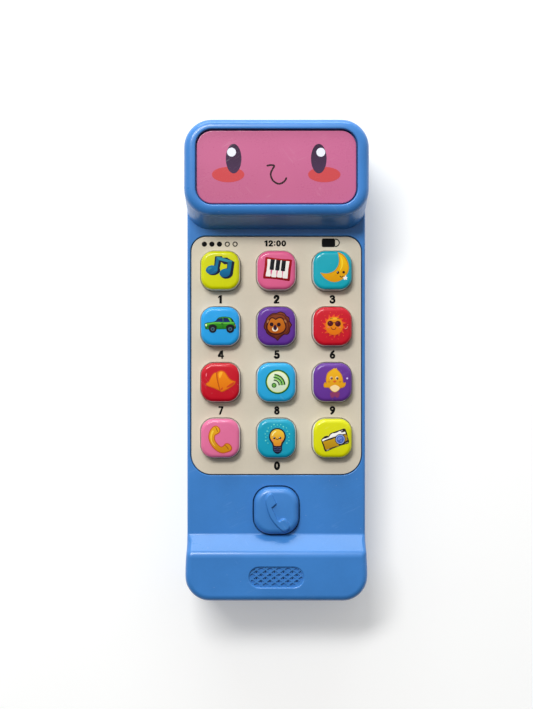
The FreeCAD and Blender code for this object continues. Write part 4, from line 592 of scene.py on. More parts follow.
        ("S", "sun_ray", [(1.09, 3.08), (1.35, 3.43), (1.8, 3.63), (2.52, 4.1), (2.3, 3.5), (2.17, 3.12), (2.1, 2.69)], {'corner': [3]}),
        ("E", "sun_dot", (3.241, 4.088, 0.157, 0.157, 0), {}),
        ("S", "sun_ray", [(2.27, 2.58), (2.66, 2.79), (3.15, 2.77), (3.71, 2.66), (3.55, 2.44), (3.26, 2.15), (3.01, 1.79)], {'corner': [3]}),
        ("E", "sun_dot", (4.645, 2.557, 0.112, 0.112, 0), {}),
        ("S", "sun_ray", [(3.11, 1.62), (3.56, 1.64), (3.99, 1.41), (4.8, 1.14), (4.2, 0.94), (3.82, 0.8), (3.44, 0.59)], {'corner': [3]}),
        ("E", "sun_dot", (5.246, 0.569, 0.157, 0.157, 0), {}),
        ("E", "sun_edge", (0.59, 0.202, 3.007, 3.096, 0), {}),
        ("E", "sun", (0.545, 0.247, 2.805, 2.894, 0), {'to': 'sun_low'}),
        ("E", "sun_lit", (0.68, 2.625, 1.436, 0.359, 0), {}),
        ("L", "cocoa_red", [(-0.76, 2.58), (-0.35, 2.81), (-0.04, 2.62)], {'w': 0.179}),
        ("L", "cocoa_red", [(1.58, 2.54), (1.94, 2.76), (2.29, 2.54)], {'w': 0.179}),
        ("E", "shade_dark", (-0.756, 1.01, 0.987, 0.942, 0), {}),
        ("E", "shade_dark", (1.847, 0.92, 0.987, 0.987, 0), {}),
        ("L", "shade_dark", [(0.07, 1.19), (0.59, 1.32), (1.08, 1.14)], {'w': 0.224}),
        ("E", "shade_lit", (-1.025, 1.324, 0.269, 0.157, 30), {}),
        ("E", "shade_lit", (1.532, 1.234, 0.269, 0.157, 30), {}),
        ("L", "cocoa_red", [(-0.49, -0.38), (-0.15, -0.88), (0.32, -1.05), (0.86, -0.88), (1.17, -0.38)], {'w': 0.202}),
        ("E", "blush", (-1.384, -0.247, 0.404, 0.269, 0), {}),
        ("E", "blush", (2.475, -0.337, 0.404, 0.269, 0), {}),
        # a painted highlight on the red key's face at its right edge, laid with the picture
        ("L", "painted_highlight_key6", [(4.27, -0.79), (4.85, -0.61), (5.08, -0.02)], {'w': 0.202}),
    ],
    "key_7": [
        ("S", "bell_edge", [(-1.39, 3.47), (-2.46, 2.98), (-3.23, 1.81), (-3.94, 0.38), (-4.84, -0.21), (-4.8, -0.93), (-3.63, -1.47), (-2.24, -1.91), (-0.49, -2.68), (0.36, -2.81), (0.86, -0.75), (-0.27, 2.39)], {'corner': [4, 7]}),
        ("S", "bell", [(-1.43, 3.25), (-2.33, 2.8), (-3.05, 1.68), (-3.77, 0.24), (-4.57, -0.34), (-4.53, -0.75), (-3.5, -1.24), (-2.1, -1.69), (-0.49, -2.41), (0.09, -2.54), (0.41, -0.75), (-0.58, 2.35)], {'to': 'bell_low'}),
        ("S", "bell_edge", [(-1.21, 3.25), (-0.53, 3.92), (0.41, 4.14), (1.4, 3.79), (2.11, 2.98), (3.1, 1.5), (4.18, 0.78), (5.25, 0.46), (4.85, -0.57), (3.28, -1.82), (1.75, -2.72), (0.36, -3.17), (-0.27, -2.32), (-0.62, -0.75), (-0.98, 1.05)], {'corner': [7]}),
        ("S", "bell", [(-0.89, 3.11), (-0.35, 3.65), (0.41, 3.85), (1.26, 3.54), (1.89, 2.8), (2.88, 1.32), (3.95, 0.55), (4.9, 0.28), (4.54, -0.43), (3.1, -1.6), (1.67, -2.41), (0.45, -2.86), (0, -2.18), (-0.35, -0.75), (-0.71, 1.05)], {'to': 'bell_low'}),
        ("L", "bell_line", [(-1.25, 3.16), (-1.12, 1.5), (-0.67, -0.52), (-0.09, -2.59)], {'w': 0.247}),
        ("S", "bell_mouth", [(4.72, 0.2), (4.45, -0.57), (3.33, -1.38), (2.25, -1.73), (2.25, -1.29), (3.1, -0.66), (4, -0.07)], {}),
        ("S", "bell_mouth", [(0.95, -1.65), (0.77, -2.32), (0.32, -2.5), (0.18, -2.14), (0.54, -1.78)], {}),
        ("S", "bell_lit", [(-0.22, 3.47), (0.41, 3.61), (0.81, 3.43), (0.54, 2.62), (-0.04, 1.5), (-0.35, 1.72), (-0.49, 2.73)], {}),
        # a painted highlight on the red key's face at its left edge, laid with the picture
        ("E", "key_red_lit", (-4.752, 2.618, 0.135, 0.673, -6), {}),
    ],
    "key_8": [
        ("E", "ring_green", (0.453, 0.263, 4.196, 4.173, 0), {}),
        ("E", "ring_lime", (0.453, 0.263, 3.702, 3.68, 0), {}),
        ("E", "disc", (0.453, 0.263, 3.5, 3.478, 0), {'to': 'disc_low'}),
        ("L", "arc_light", [(2.47, -0.81), (2.39, -0.21), (2.2, 0.37), (1.91, 0.9), (1.52, 1.37), (1.05, 1.76), (0.52, 2.06), (-0.06, 2.25), (-0.67, 2.33)], {'flat': True, 'w': 0.449}),
        ("L", "arc_light", [(1.53, -0.85), (1.47, -0.42), (1.34, -0.01), (1.13, 0.37), (0.85, 0.71), (0.52, 0.98), (0.14, 1.19), (-0.27, 1.33), (-0.7, 1.38)], {'flat': True, 'w': 0.404}),
        ("L", "arc_dark", [(2.87, -0.73), (2.77, -0.07), (2.55, 0.57), (2.22, 1.16), (1.78, 1.68), (1.26, 2.11), (0.66, 2.43), (0.02, 2.64), (-0.65, 2.73)], {'flat': True, 'w': 0.426}),
        ("L", "arc_mid", [(1.96, -0.88), (1.89, -0.33), (1.72, 0.2), (1.44, 0.68), (1.07, 1.09), (0.62, 1.42), (0.12, 1.66), (-0.42, 1.79), (-0.97, 1.8)], {'flat': True, 'w': 0.426}),
        ("L", "arc_dark", [(0.97, -0.9), (0.93, -0.54), (0.81, -0.21), (0.64, 0.1), (0.4, 0.36), (0.12, 0.57), (-0.2, 0.73), (-0.55, 0.81), (-0.9, 0.82)], {'flat': True, 'w': 0.426}),
        ("E", "arc_mid", (-0.781, -0.927, 0.83, 0.83, 0), {}),
        ("E", "arc_light", (-0.781, -0.927, 0.449, 0.449, 0), {}),
        ("E", "arc_dark", (-0.781, -0.927, 0.202, 0.202, 0), {}),
    ],
    "key_9": [
        ("S", "foot_print", [(-0.67, -3.35), (0.77, -3.17), (2.29, -3.35), (2.34, -4.34), (1.8, -5.14), (1.08, -4.96), (0.77, -4.56), (0.41, -5.05), (-0.31, -5.14), (-0.76, -4.29)], {}),
        ("S", "chick_edge", [(0.79, 4.86), (1.89, 4.23), (2.97, 2.93), (3.51, 1.5), (3.73, 0.02), (4.49, 0.1), (4.4, -1.02), (3.64, -1.69), (2.79, -1.91), (1.98, -2.86), (0.86, -3.31), (-0.31, -2.86), (-1.29, -1.78), (-2.73, -1.69), (-3.04, -0.75), (-2.64, 0.1), (-2.19, -0.12), (-2.24, 1.5), (-1.7, 3.25), (-0.53, 4.28)], {'corner': [9, 16]}),
        ("S", "chick", [(0.79, 4.64), (1.8, 4.01), (2.74, 2.84), (3.24, 1.5), (3.46, -0.25), (4.18, -0.21), (4.13, -0.93), (3.51, -1.42), (2.65, -1.69), (1.85, -2.59), (0.86, -3.04), (-0.17, -2.63), (-1.11, -1.55), (-2.55, -1.42), (-2.77, -0.75), (-2.51, -0.21), (-1.97, -0.39), (-1.97, 1.5), (-1.43, 3.07), (-0.4, 4.05)], {'to': 'chick_low'}),
        ("S", "chick", [(0.28, 4.37), (0.46, 4.95), (0.86, 4.64), (1.49, 5), (1.35, 4.28)], {'corner': [1, 3]}),
        ("S", "belly", [(-0.85, -1.69), (-0.13, -1.11), (0.86, -0.79), (1.85, -1.15), (2.43, -1.78), (1.85, -2.72), (0.86, -3.12), (-0.13, -2.77)], {}),
        ("E", "belly", (-0.397, 1.519, 0.538, 0.561, 0), {}),
        ("E", "belly", (1.532, 1.519, 0.538, 0.561, 0), {}),
        ("E", "cocoa_red", (-0.307, 1.452, 0.404, 0.449, 0), {}),
        ("E", "cocoa", (1.622, 1.452, 0.404, 0.449, 0), {}),
        ("E", "white", (-0.397, 1.631, 0.112, 0.112, 0), {}),
        ("E", "white", (1.555, 1.631, 0.112, 0.112, 0), {}),
        ("S", "beak", [(0.1, 0.51), (0.77, 0.73), (1.4, 0.51), (0.77, -0.03)], {'corner': [0, 2]}),
        ("E", "chick_edge", (-1.16, 0.375, 0.449, 0.292, 0), {}),
        ("E", "chick_edge", (2.609, 0.375, 0.449, 0.292, 0), {}),
        # a painted highlight on the purple key's face at its right edge, laid with the picture
        ("E", "lilac_lit", (5.01, 1.429, 0.314, 0.314, 0), {}),
    ],
    "key_call": [
        ("S", "phone_edge", [(-1.5, 4.46), (-0.58, 4.07), (0, 3.18), (-0.09, 2.19), (-0.89, 1.52), (-1.66, 1.02), (-1.83, 0.08), (-1.39, -1.04), (-0.49, -2.12), (0.36, -2.66), (1.08, -2.27), (1.75, -1.6), (2.7, -1.53), (3.59, -2.16), (4.04, -3.17), (3.68, -4.14), (2.43, -4.68), (0.86, -5.01), (-0.71, -4.56), (-2.33, -3.29), (-3.45, -1.71), (-4.03, 0.08), (-3.99, 1.43), (-3.52, 2.86), (-2.51, 4.07)], {}),
        ("S", "phone_gold", [(-1.48, 4.16), (-0.76, 3.85), (-0.29, 3.09), (-0.4, 2.32), (-1.07, 1.79), (-1.93, 1.2), (-2.15, 0.08), (-1.66, -1.18), (-0.67, -2.34), (0.36, -2.97), (1.26, -2.57), (1.89, -1.89), (2.7, -1.85), (3.37, -2.39), (3.73, -3.17), (3.42, -3.91), (2.34, -4.38), (0.86, -4.7), (-0.58, -4.27), (-2.1, -3.06), (-3.18, -1.58), (-3.72, 0.13), (-3.7, 1.38), (-3.27, 2.68), (-2.37, 3.81)], {'to': 'phone_deep'}),
        ("S", "phone_lit", [(-2.82, 2.55), (-2.37, 2.86), (-2.24, 2.32), (-2.73, 1.2), (-2.87, -0.05), (-2.55, -1.26), (-1.75, -2.43), (-2.1, -2.3), (-2.96, -1.13), (-3.32, 0.08), (-3.27, 1.34)], {}),
        ("L", "phone_line", [(-1.57, 3.9), (-1.25, 3.31), (-0.94, 2.46)], {'w': 0.247}),
        ("L", "phone_line", [(1.71, -2.3), (2.25, -2.79), (2.79, -3.55)], {'w': 0.247}),
    ],
    "key_0": [
        ("E", "glow_dot", (3.539, -1.485, 0.247, 0.247, 0), {}),
        ("E", "glow_dot", (4.32, -0.645, 0.179, 0.179, 0), {}),
        ("E", "glow_dot", (4.237, 0.499, 0.179, 0.179, 0), {}),
        ("E", "glow_dot", (4.469, 1.622, 0.247, 0.247, 0), {}),
        ("E", "glow_dot", (3.804, 2.557, 0.179, 0.179, 0), {}),
        ("E", "glow_dot", (3.42, 3.637, 0.179, 0.179, 0), {}),
        ("E", "glow_dot", (2.366, 4.091, 0.247, 0.247, 0), {}),
        ("E", "glow_dot", (1.477, 4.816, 0.179, 0.179, 0), {}),
        ("E", "glow_dot", (0.341, 4.658, 0.179, 0.179, 0), {}),
        ("E", "glow_dot", (-0.795, 4.816, 0.247, 0.247, 0), {}),
        ("E", "glow_dot", (-1.684, 4.091, 0.179, 0.179, 0), {}),
        ("E", "glow_dot", (-2.738, 3.637, 0.179, 0.179, 0), {}),
        ("E", "glow_dot", (-3.122, 2.557, 0.247, 0.247, 0), {}),
        ("E", "glow_dot", (-3.787, 1.622, 0.179, 0.179, 0), {}),
        ("E", "glow_dot", (-3.555, 0.499, 0.179, 0.179, 0), {}),
        ("E", "glow_dot", (-3.638, -0.645, 0.247, 0.247, 0), {}),
        ("E", "glow_dot", (-2.857, -1.485, 0.179, 0.179, 0), {}),
        ("E", "glow_dim", (3.609, -0.436, 0.135, 0.135, 0), {}),
        ("E", "glow_dim", (3.808, 1.023, 0.135, 0.135, 0), {}),
        ("E", "glow_dim", (3.386, 2.434, 0.135, 0.135, 0), {}),
        ("E", "glow_dim", (2.418, 3.543, 0.135, 0.135, 0), {}),
        ("E", "glow_dim", (1.077, 4.153, 0.135, 0.135, 0), {}),
        ("E", "glow_dim", (-0.395, 4.153, 0.135, 0.135, 0), {}),
        ("E", "glow_dim", (-1.736, 3.543, 0.135, 0.135, 0), {}),
        ("E", "glow_dim", (-2.704, 2.434, 0.135, 0.135, 0), {}),
        ("E", "glow_dim", (-3.126, 1.023, 0.135, 0.135, 0), {}),
        ("E", "glow_dim", (-2.927, -0.436, 0.135, 0.135, 0), {}),
        ("S", "bulb_navy", [(0.34, 3.63), (1.71, 3.31), (2.79, 2.32), (3.19, 0.8), (2.92, -0.5), (2.11, -1.71), (1.93, -2.61), (1.89, -3.73), (1.44, -4.54), (0.34, -5.12), (-0.76, -4.54), (-1.21, -3.73), (-1.25, -2.61), (-1.48, -1.71), (-2.24, -0.5), (-2.51, 0.8), (-2.1, 2.32), (-1.03, 3.31)], {}),
        ("S", "bulb", [(0.34, 3.18), (1.53, 2.91), (2.43, 2.06), (2.74, 0.8), (2.47, -0.28), (1.71, -1.4), (1.44, -2.3), (0.34, -2.48), (-0.76, -2.3), (-1.07, -1.4), (-1.79, -0.28), (-2.06, 0.8), (-1.75, 2.06), (-0.85, 2.91)], {'to': 'bulb_low'}),
        ("S", "bulb_lit", [(-0.22, 2.64), (-0.89, 2.32), (-1.43, 1.52), (-1.52, 0.98), (-1.12, 1.2), (-0.67, 1.92), (-0.09, 2.32)], {}),
        ("E", "bulb_navy", (-0.669, 0.26, 0.404, 0.404, 0), {}),
        ("E", "bulb_navy", (1.261, 0.26, 0.404, 0.404, 0), {}),
        ("E", "white", (-0.803, 0.395, 0.112, 0.112, 0), {}),
        ("E", "white", (1.126, 0.395, 0.112, 0.112, 0), {}),
        ("L", "bulb_navy", [(-0.09, 0.04), (0.14, -0.23), (0.34, -0.32), (0.54, -0.23), (0.77, 0.04)], {'w': 0.202}),
        ("E", "blush", (-1.117, -0.503, 0.381, 0.269, 0), {}),
        ("E", "blush", (1.799, -0.503, 0.381, 0.269, 0), {}),
        ("L", "bulb_slate", [(-0.89, -2.93), (0.34, -3.15), (1.57, -2.93)], {'w': 0.224}),
        ("L", "bulb_slate", [(-0.85, -3.55), (0.34, -3.78), (1.53, -3.55)], {'w': 0.224}),
        ("L", "bulb_slate", [(-0.62, -4.18), (0.34, -4.38), (1.31, -4.18)], {'w': 0.202}),
    ],
    "key_camera": [
        ("P", "cam_dark", [(-3.9, -0.46), (-3.49, 0.13), (-2.77, 0.8), (-1.79, 1.07), (-1.34, 0.8), (-0.98, 1.56), (-0.35, 2.01), (3.91, 3.49), (4.4, 3.31), (4.9, 2.06), (5.71, -1), (5.39, -1.58), (-2.06, -4.36), (-2.51, -4.32), (-2.82, -3.73)], {}),
        ("P", "cam_white", [(-3.63, -0.55), (-3.22, -0.1), (-1.16, 0.53), (-0.67, 1.38), (-0.13, 1.74), (2.7, 2.68), (3.1, 2.06), (4.27, 2.41), (4.49, 1.74), (-3.31, -0.91)], {}),
        ("P", "cam_gold", [(-3.27, -1.04), (1.4, 0.53), (2.21, -1.49), (2.12, -2.34), (-2.01, -3.78), (-2.37, -3.64)], {'to': 'cam_gold2'}),
        ("P", "cam_gold2", [(3.55, 1.2), (4.63, 1.56), (5.17, -0.41), (4.18, -1.04)], {}),
        ("P", "cam_grey", [(-2.1, -3.82), (2.21, -2.34), (5.3, -1.09), (5.35, -1.31), (-1.97, -4.14)], {}),
        ("P", "cam_line", [(-1.16, -3.55), (1.98, -2.48), (2.03, -2.61), (-1.02, -3.69)], {}),
        ("P", "cam_black", [(2.61, 2.73), (3.87, 3.18), (4.13, 2.55), (3.15, 2.06)], {}),
        ("P", "cam_lit", [(2.88, 2.68), (3.37, 2.86), (3.46, 2.68), (3.01, 2.5)], {}),
        ("E", "cam_dark", (2.609, -0.188, 1.75, 1.795, 0), {}),
        ("E", "cam_ring", (2.609, -0.188, 1.526, 1.571, 0), {}),
        ("E", "cam_blue", (2.609, -0.188, 1.301, 1.346, 0), {'to': 'cam_blue2'}),
        ("L", "cam_ring", [(1.85, -0.41), (2.03, 0.21), (2.61, 0.53), (3.19, 0.21)], {'w': 0.157}),
        ("L", "cam_ring", [(2.21, -0.5), (2.34, -0.1), (2.7, 0.08), (3.01, -0.19)], {'w': 0.135}),
        ("E", "cam_ring", (2.879, -0.772, 0.224, 0.135, 20), {}),
        ("P", "cam_gold", [(4.63, 1.2), (5.08, 0.98), (5.21, 0.3), (4.9, 0.4)], {}),
        ("E", "cam_line", (5.033, 0.26, 0.179, 0.224, 0), {}),
    ],
}
INKS = {
    "navy": (14, 26, 56), "note_blue": (12, 118, 166), "note_deep": (8, 88, 136), "note_mid": (20, 102, 134),
    "note_teal": (44, 140, 160), "piano_red": (166, 2, 16), "piano_red2": (136, 0, 10),
    "piano_pink": (226, 104, 146), "ivory": (247, 242, 236), "ebony": (14, 16, 22), "ebony_lit": (52, 56, 68),
    "moon_edge": (208, 138, 4), "moon": (248, 198, 0), "moon_deep": (226, 156, 0), "moon_lit": (254, 214, 44),
    "cocoa": (52, 20, 18), "white": (250, 250, 250), "blush": (236, 122, 84), "car_dark": (14, 66, 24),
    "car": (66, 160, 34), "car_low": (24, 118, 18), "car_lit": (98, 188, 62), "glass_navy": (8, 18, 62),
    "glass_blue": (18, 44, 114), "tyre": (16, 16, 26), "hub_rim": (70, 66, 84), "hub": (64, 112, 124),
    "hub_dark": (40, 60, 78), "lamp": (214, 240, 178), "lamp_red": (206, 40, 40), "lion_dark": (60, 8, 12),
    "lion_mane": (134, 62, 22), "lion_mane2": (104, 38, 16), "lion_strand": (82, 22, 12),
    "lion_face": (196, 110, 20), "lion_face2": (178, 86, 10), "lion_ear": (170, 112, 70), "lion_eye": (40, 12, 22),
    "cream_print": (240, 224, 200), "lion_nose": (44, 12, 46), "sun_ray": (230, 84, 32), "sun_edge": (234, 116, 20),
    "sun": (228, 144, 16), "sun_low": (228, 112, 8), "sun_lit": (240, 176, 40), "cocoa_red": (104, 22, 20),
    "shade_dark": (78, 8, 24), "shade_lit": (150, 50, 70), "painted_highlight_key6": (244, 150, 140), "sun_dot": (236, 92, 50),
    "bell_edge": (204, 92, 10), "bell": (236, 136, 10), "bell_low": (226, 116, 6), "bell_line": (176, 72, 6),
    "bell_mouth": (206, 66, 24), "bell_lit": (248, 172, 40), "key_red_lit": (246, 130, 146),
    "ring_green": (20, 96, 44), "ring_lime": (206, 220, 112), "disc": (228, 238, 206), "disc_low": (206, 222, 196),
    "arc_light": (128, 198, 82), "arc_dark": (30, 66, 24), "arc_mid": (36, 96, 40), "foot_print": (142, 58, 104),
    "chick_edge": (208, 140, 16), "chick": (236, 178, 26), "chick_low": (222, 150, 20), "belly": (250, 220, 160),
    "beak": (220, 98, 28), "lilac_lit": (214, 196, 240), "phone_edge": (190, 84, 22), "phone_gold": (224, 164, 24),
    "phone_deep": (206, 134, 14), "phone_lit": (242, 198, 62), "phone_line": (146, 84, 18),
    "glow_dot": (110, 216, 200), "glow_dim": (72, 204, 208), "bulb_navy": (18, 20, 44), "bulb": (240, 196, 54),
    "bulb_low": (216, 132, 36), "bulb_lit": (252, 232, 150), "bulb_slate": (74, 78, 120), "cam_dark": (34, 28, 30),
    "cam_white": (246, 244, 238), "cam_gold": (200, 156, 24), "cam_gold2": (180, 134, 18),
    "cam_grey": (168, 164, 150), "cam_line": (96, 84, 66), "cam_black": (40, 26, 30), "cam_lit": (210, 206, 214),
    "cam_ring": (160, 178, 226), "cam_blue": (80, 112, 196), "cam_blue2": (60, 90, 178),
}

# --------------------------------------------------------------------------------------------------
# materials of the carried-over parts
# --------------------------------------------------------------------------------------------------
shell = moulded("shell_blue_plastic", BLUE, rough=0.27, vary=0.05, peel=0.0016, grain=0.0005, edge_wear_and_highlight=0.22, marks=0.12, dust=0.08,
                worn=lin(128, 176, 230), level=0.42, coat=0.15)
door = moulded("door_blue_plastic", times(BLUE, 0.93), rough=0.42, vary=0.06, peel=0.003, edge_wear_and_highlight=0.3, marks=0.3, dust=0.12, worn=lin(128, 176, 230))
cream = moulded("panel_cream_plastic", CREAM, rough=0.44, vary=0.035, peel=0.002, grain=0.0008, edge_wear_and_highlight=0.15, marks=0.08, dust=0.0,
                worn=lin(240, 236, 224), level=0.35)


def face_base(t):
    """Pink print under a clear gloss film, a little darker low down and brighter to the right, with whiter cloudy
    patches in a band across the middle and pale specks all over.
    """
    y = t.axis("Y")
    col = t.mix(t.step(y, 52.0, 76.0), seen(190, 96, 134), seen(200, 102, 144))
    col = t.mix(t.step(t.axis("X"), -26.0, 26.0, 0.0, 0.35), col, seen(204, 102, 150))
    band = t.step(t.math("ABSOLUTE", t.math("SUBTRACT", y, 63.9)), 0.5, 1.7, 1.0, 0.0)
    middle_band_patches = t.step(t.noise(0.42, 5.0, t.turn(12, (1.0, 1.5, 1.0), (4.0, 2.0, 1.0)), 0.7), 0.60, 0.74)
    col = t.mix(t.math("MULTIPLY", t.math("MULTIPLY", band, middle_band_patches), 0.45), col, lin(232, 184, 204))
    fleck = t.specks(0.16, 0.07, 0.30, (2.0, 5.0, 0.0))
    return t.mix(t.math("MULTIPLY", fleck, 0.55), col, lin(246, 214, 226))


face_mat = moulded("face_pink_gloss", PINK, rough=0.25, vary=0.015, peel=0.0008, grain=0.0002, edge_wear_and_highlight=0.2, marks=0.05, dust=0.05,
                   base=face_base, coat=0.15, worn=lin(244, 208, 222))

steel = metal("zinc_plated_steel", (0.56, 0.56, 0.55, 1), 0.36)
spring = metal("spring_steel_strip", (0.66, 0.65, 0.62, 1), 0.28, brush=20)
nickel = metal("speaker_magnet_metal", (0.48, 0.48, 0.50, 1), 0.34, brush=70)
rubber = moulded("silicone_mat", lin(120, 122, 128), rough=0.62, vary=0.06, peel=0.010, grain=0.006, edge_wear_and_highlight=0.1, marks=0.1, dust=0.35, level=0.35)
black = moulded("black_plastic", lin(34, 34, 38), rough=0.42, vary=0.10, edge_wear_and_highlight=0.3, marks=0.3, dust=0.2, worn=lin(110, 112, 118))
epoxy = moulded("epoxy_blob", lin(20, 20, 22), rough=0.22, vary=0.12, peel=0.03, edge_wear_and_highlight=0.0, marks=0.15, dust=0.25, worn=lin(90, 90, 96), coat=0.3)
speaker = moulded("speaker_basket", lin(30, 30, 33), rough=0.5, vary=0.10, grain=0.005, edge_wear_and_highlight=0.3, marks=0.2, worn=lin(110, 112, 118))
lens = moulded("lamp_lens", lin(236, 232, 214), rough=0.18, vary=0.04, edge_wear_and_highlight=0.1, marks=0.1, dust=0.05, coat=0.6)


def cone_rings(t):
    """Concentric ridges pressed in the cone's film."""
    x = t.axis("X")
    y = t.math("ADD", t.axis("Y"), 69.5)
    r = t.math("SQRT", t.math("ADD", t.math("MULTIPLY", x, x), t.math("MULTIPLY", y, y)))
    wave = t.math("SINE", t.math("MULTIPLY", r, 7.0))
    return t.mix(t.step(wave, -0.4, 0.8, 0.0, 0.5), lin(74, 66, 56), lin(120, 108, 88))


cone = moulded("cone_film", lin(96, 86, 70), rough=0.30, vary=0.06, base=cone_rings, edge_wear_and_highlight=0.1, marks=0.1, level=0.6)


def wire(name, colour):
    def base(t):
        ring = t.math("SINE", t.math("MULTIPLY", t.axis("X"), 9.0))
        return t.mix(t.step(ring, 0.6, 1.0, 0.0, 0.12), colour, times(colour, 0.6))
    return moulded(name, colour, rough=0.34, vary=0.08, base=base, edge_wear_and_highlight=0.1, marks=0.25, dust=0.2, worn=times(colour, 1.8))


def board(t):
    """Solder mask over copper runs that turn at cells, with tinned pads and a bare edge."""
    x, y = t.axis("X"), t.axis("Y")
    flat = t.add("ShaderNodeCombineXYZ", {0: x, 1: y}).outputs[0]
    v = t.cells(0.11, vector=flat)
    way = t.add("ShaderNodeSeparateColor", {0: v.outputs["Color"]}).outputs
    a = t.math("SINE", t.math("MULTIPLY", x, 5.2))
    b = t.math("SINE", t.math("MULTIPLY", y, 5.2))
    pick = t.step(way[0], 0.49, 0.51)
    run = t.math("ADD", t.math("MULTIPLY", a, pick), t.math("MULTIPLY", b, t.math("SUBTRACT", 1.0, pick)))
    run = t.math("MULTIPLY", t.step(run, 0.15, 0.45), t.step(way[1], 0.35, 0.37))
    mask = t.mix(t.math("MULTIPLY", run, 0.65), lin(18, 84, 44), lin(52, 132, 66))
    pads = t.cells(0.42, vector=flat, spread=0.25)
    on = t.add("ShaderNodeSeparateColor", {0: pads.outputs["Color"]}).outputs[0]
    pad = t.math("MULTIPLY", t.step(pads.outputs["Distance"], 0.20, 0.26, 1.0, 0.0), t.step(on, 0.80, 0.82))
    hole = t.math("MULTIPLY", t.step(pads.outputs["Distance"], 0.08, 0.11, 1.0, 0.0), t.step(on, 0.80, 0.82))
    col = t.mix(pad, mask, lin(196, 198, 196))
    col = t.mix(hole, col, lin(40, 34, 26))
    side = t.step(t.math("ABSOLUTE", t.up()), 0.3, 0.6, 1.0, 0.0)
    return t.mix(side, col, lin(178, 160, 104))


pcb = moulded("circuit_board", lin(20, 88, 46), rough=0.30, vary=0.05, peel=0.008, base=board, edge_wear_and_highlight=0.2, marks=0.15, dust=0.2, worn=lin(190, 200, 190))


def cell_sleeve(name, node, positive):
    """A dry cell: bare steel ends, a dark sleeve with a copper-coloured band towards its positive end, fine rules."""
    lo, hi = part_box(node)
    x0, x1 = lo.x / MM, hi.x / MM

    def base(t):
        x = t.axis("X")
        u = t.math("DIVIDE", t.math("SUBTRACT", x, x0), x1 - x0)
        if positive < 0:
            u = t.math("SUBTRACT", 1.0, u)
        col = t.mix(t.step(u, 0.735, 0.74), lin(32, 34, 40), lin(196, 128, 62))
        rule = t.math("MULTIPLY", t.step(u, 0.71, 0.712), t.step(u, 0.724, 0.726, 1.0, 0.0))
        col = t.mix(rule, col, lin(226, 222, 210))
        rule = t.math("MULTIPLY", t.step(u, 0.10, 0.102), t.step(u, 0.112, 0.114, 1.0, 0.0))
        col = t.mix(rule, col, lin(196, 128, 62))
        # a ruled grey panel, as small print would be
        rows = t.math("SINE", t.math("MULTIPLY", t.axis("Z"), 6.0))
        words = t.noise(1.7, 1.0, t.turn(0, (1.0, 0.02, 0.9)))
        text = t.math("MULTIPLY", t.step(rows, 0.2, 0.5), t.step(words, 0.47, 0.53))
        text = t.math("MULTIPLY", text, t.math("MULTIPLY", t.step(u, 0.2, 0.21), t.step(u, 0.48, 0.49, 1.0, 0.0)))
        col = t.mix(t.math("MULTIPLY", text, 0.7), col, lin(190, 192, 196))
        ends = t.math("MAXIMUM", t.step(u, 0.966, 0.968), t.step(u, 0.012, 0.014, 1.0, 0.0))
        return t.mix(ends, col, lin(190, 190, 188))
    return moulded(name, lin(32, 34, 40), rough=0.24, vary=0.04, base=base, edge_wear_and_highlight=0.2, marks=0.3, dust=0.1, coat=0.4, worn=lin(200, 200, 200), metal=0.15)


def can_base(t):
    """A capacitor's sleeve with a pale polarity stripe and a bare scored top."""
    stripe = t.step(t.axis("X"), -17.6, -17.5, 1.0, 0.0)
    dash = t.step(t.math("SINE", t.math("MULTIPLY", t.axis("Z"), 4.0)), 0.2, 0.4)
    col = t.mix(t.math("MULTIPLY", stripe, 0.8), lin(26, 34, 66), lin(196, 200, 206))
    col = t.mix(t.math("MULTIPLY", t.math("MULTIPLY", stripe, dash), 0.8), col, lin(26, 34, 66))
    return t.mix(t.step(t.math("ABSOLUTE", t.up()), 0.8, 0.9), col, lin(196, 196, 196))


can = moulded("capacitor_sleeve", lin(26, 34, 66), rough=0.28, vary=0.05, base=can_base, edge_wear_and_highlight=0.15, marks=0.2, coat=0.3)

FINISH = {
    "front_shell": shell, "rear_shell": shell, "battery_door": door, "keypad_panel": cream, "face_panel": face_mat,
    "battery_door_screw": steel, "housing_screws": steel, "led_board_screws": steel, "pcb_screws": steel, "power_switch_screws": steel,
    "battery_contact_positive": spring, "battery_contact_negative": spring, "battery_bridge_contact": spring,
    "battery_upper": cell_sleeve("cell_upper_sleeve", "battery_upper", 1), "battery_lower": cell_sleeve("cell_lower_sleeve", "battery_lower", -1),
    "battery_wire_red": wire("wire_red_sleeve", lin(196, 28, 28)), "battery_wire_black": wire("wire_black_sleeve", lin(26, 26, 28)),
    "face_leds": lens, "led_board": pcb, "main_pcb": pcb, "rubber_keypad": rubber, "sound_chip": epoxy, "filter_capacitor": can,
    "speaker_frame": speaker, "speaker_magnet": nickel, "speaker_cone": cone, "power_switch_body": black, "power_switch_knob": black,
}
for a, b in (("led_wire_red", "battery_wire_red"), ("led_wire_black", "battery_wire_black"),
             ("speaker_wire_red", "battery_wire_red"), ("speaker_wire_black", "battery_wire_black")):
    FINISH[a] = FINISH[b]
for name, mat in FINISH.items():
    me = nodes[name].data
    me.materials.clear()
    me.materials.append(mat)

# --------------------------------------------------------------------------------------------------
# key caps: pillow tops in coloured gloss over an off-white skirt, with a flange, hollow and stem below
# --------------------------------------------------------------------------------------------------
W, R, TOP, EDGE, DRAFT, CROWN = 13.4, 4.4, 21.3, 1.35, 0.12, 0.34


def pillow(x, y, w=W, h=W, r=R, top=TOP, edge=EDGE, draft=DRAFT, crown=CROWN):
    """Height of a cap's top: a round edge run into a low crown."""
    d = min(max(inset(x, y, w, h, r) - draft, 0.0), edge)
    drop = edge - math.sqrt(max(edge * edge - (edge - d) ** 2, 0.0))
    fx, fy = min(abs(2 * x / w), 1.0), min(abs(2 * y / h), 1.0)
    return top + crown * ((1 - fx * fx) * (1 - fy * fy) - 0.35) - drop * 0.92


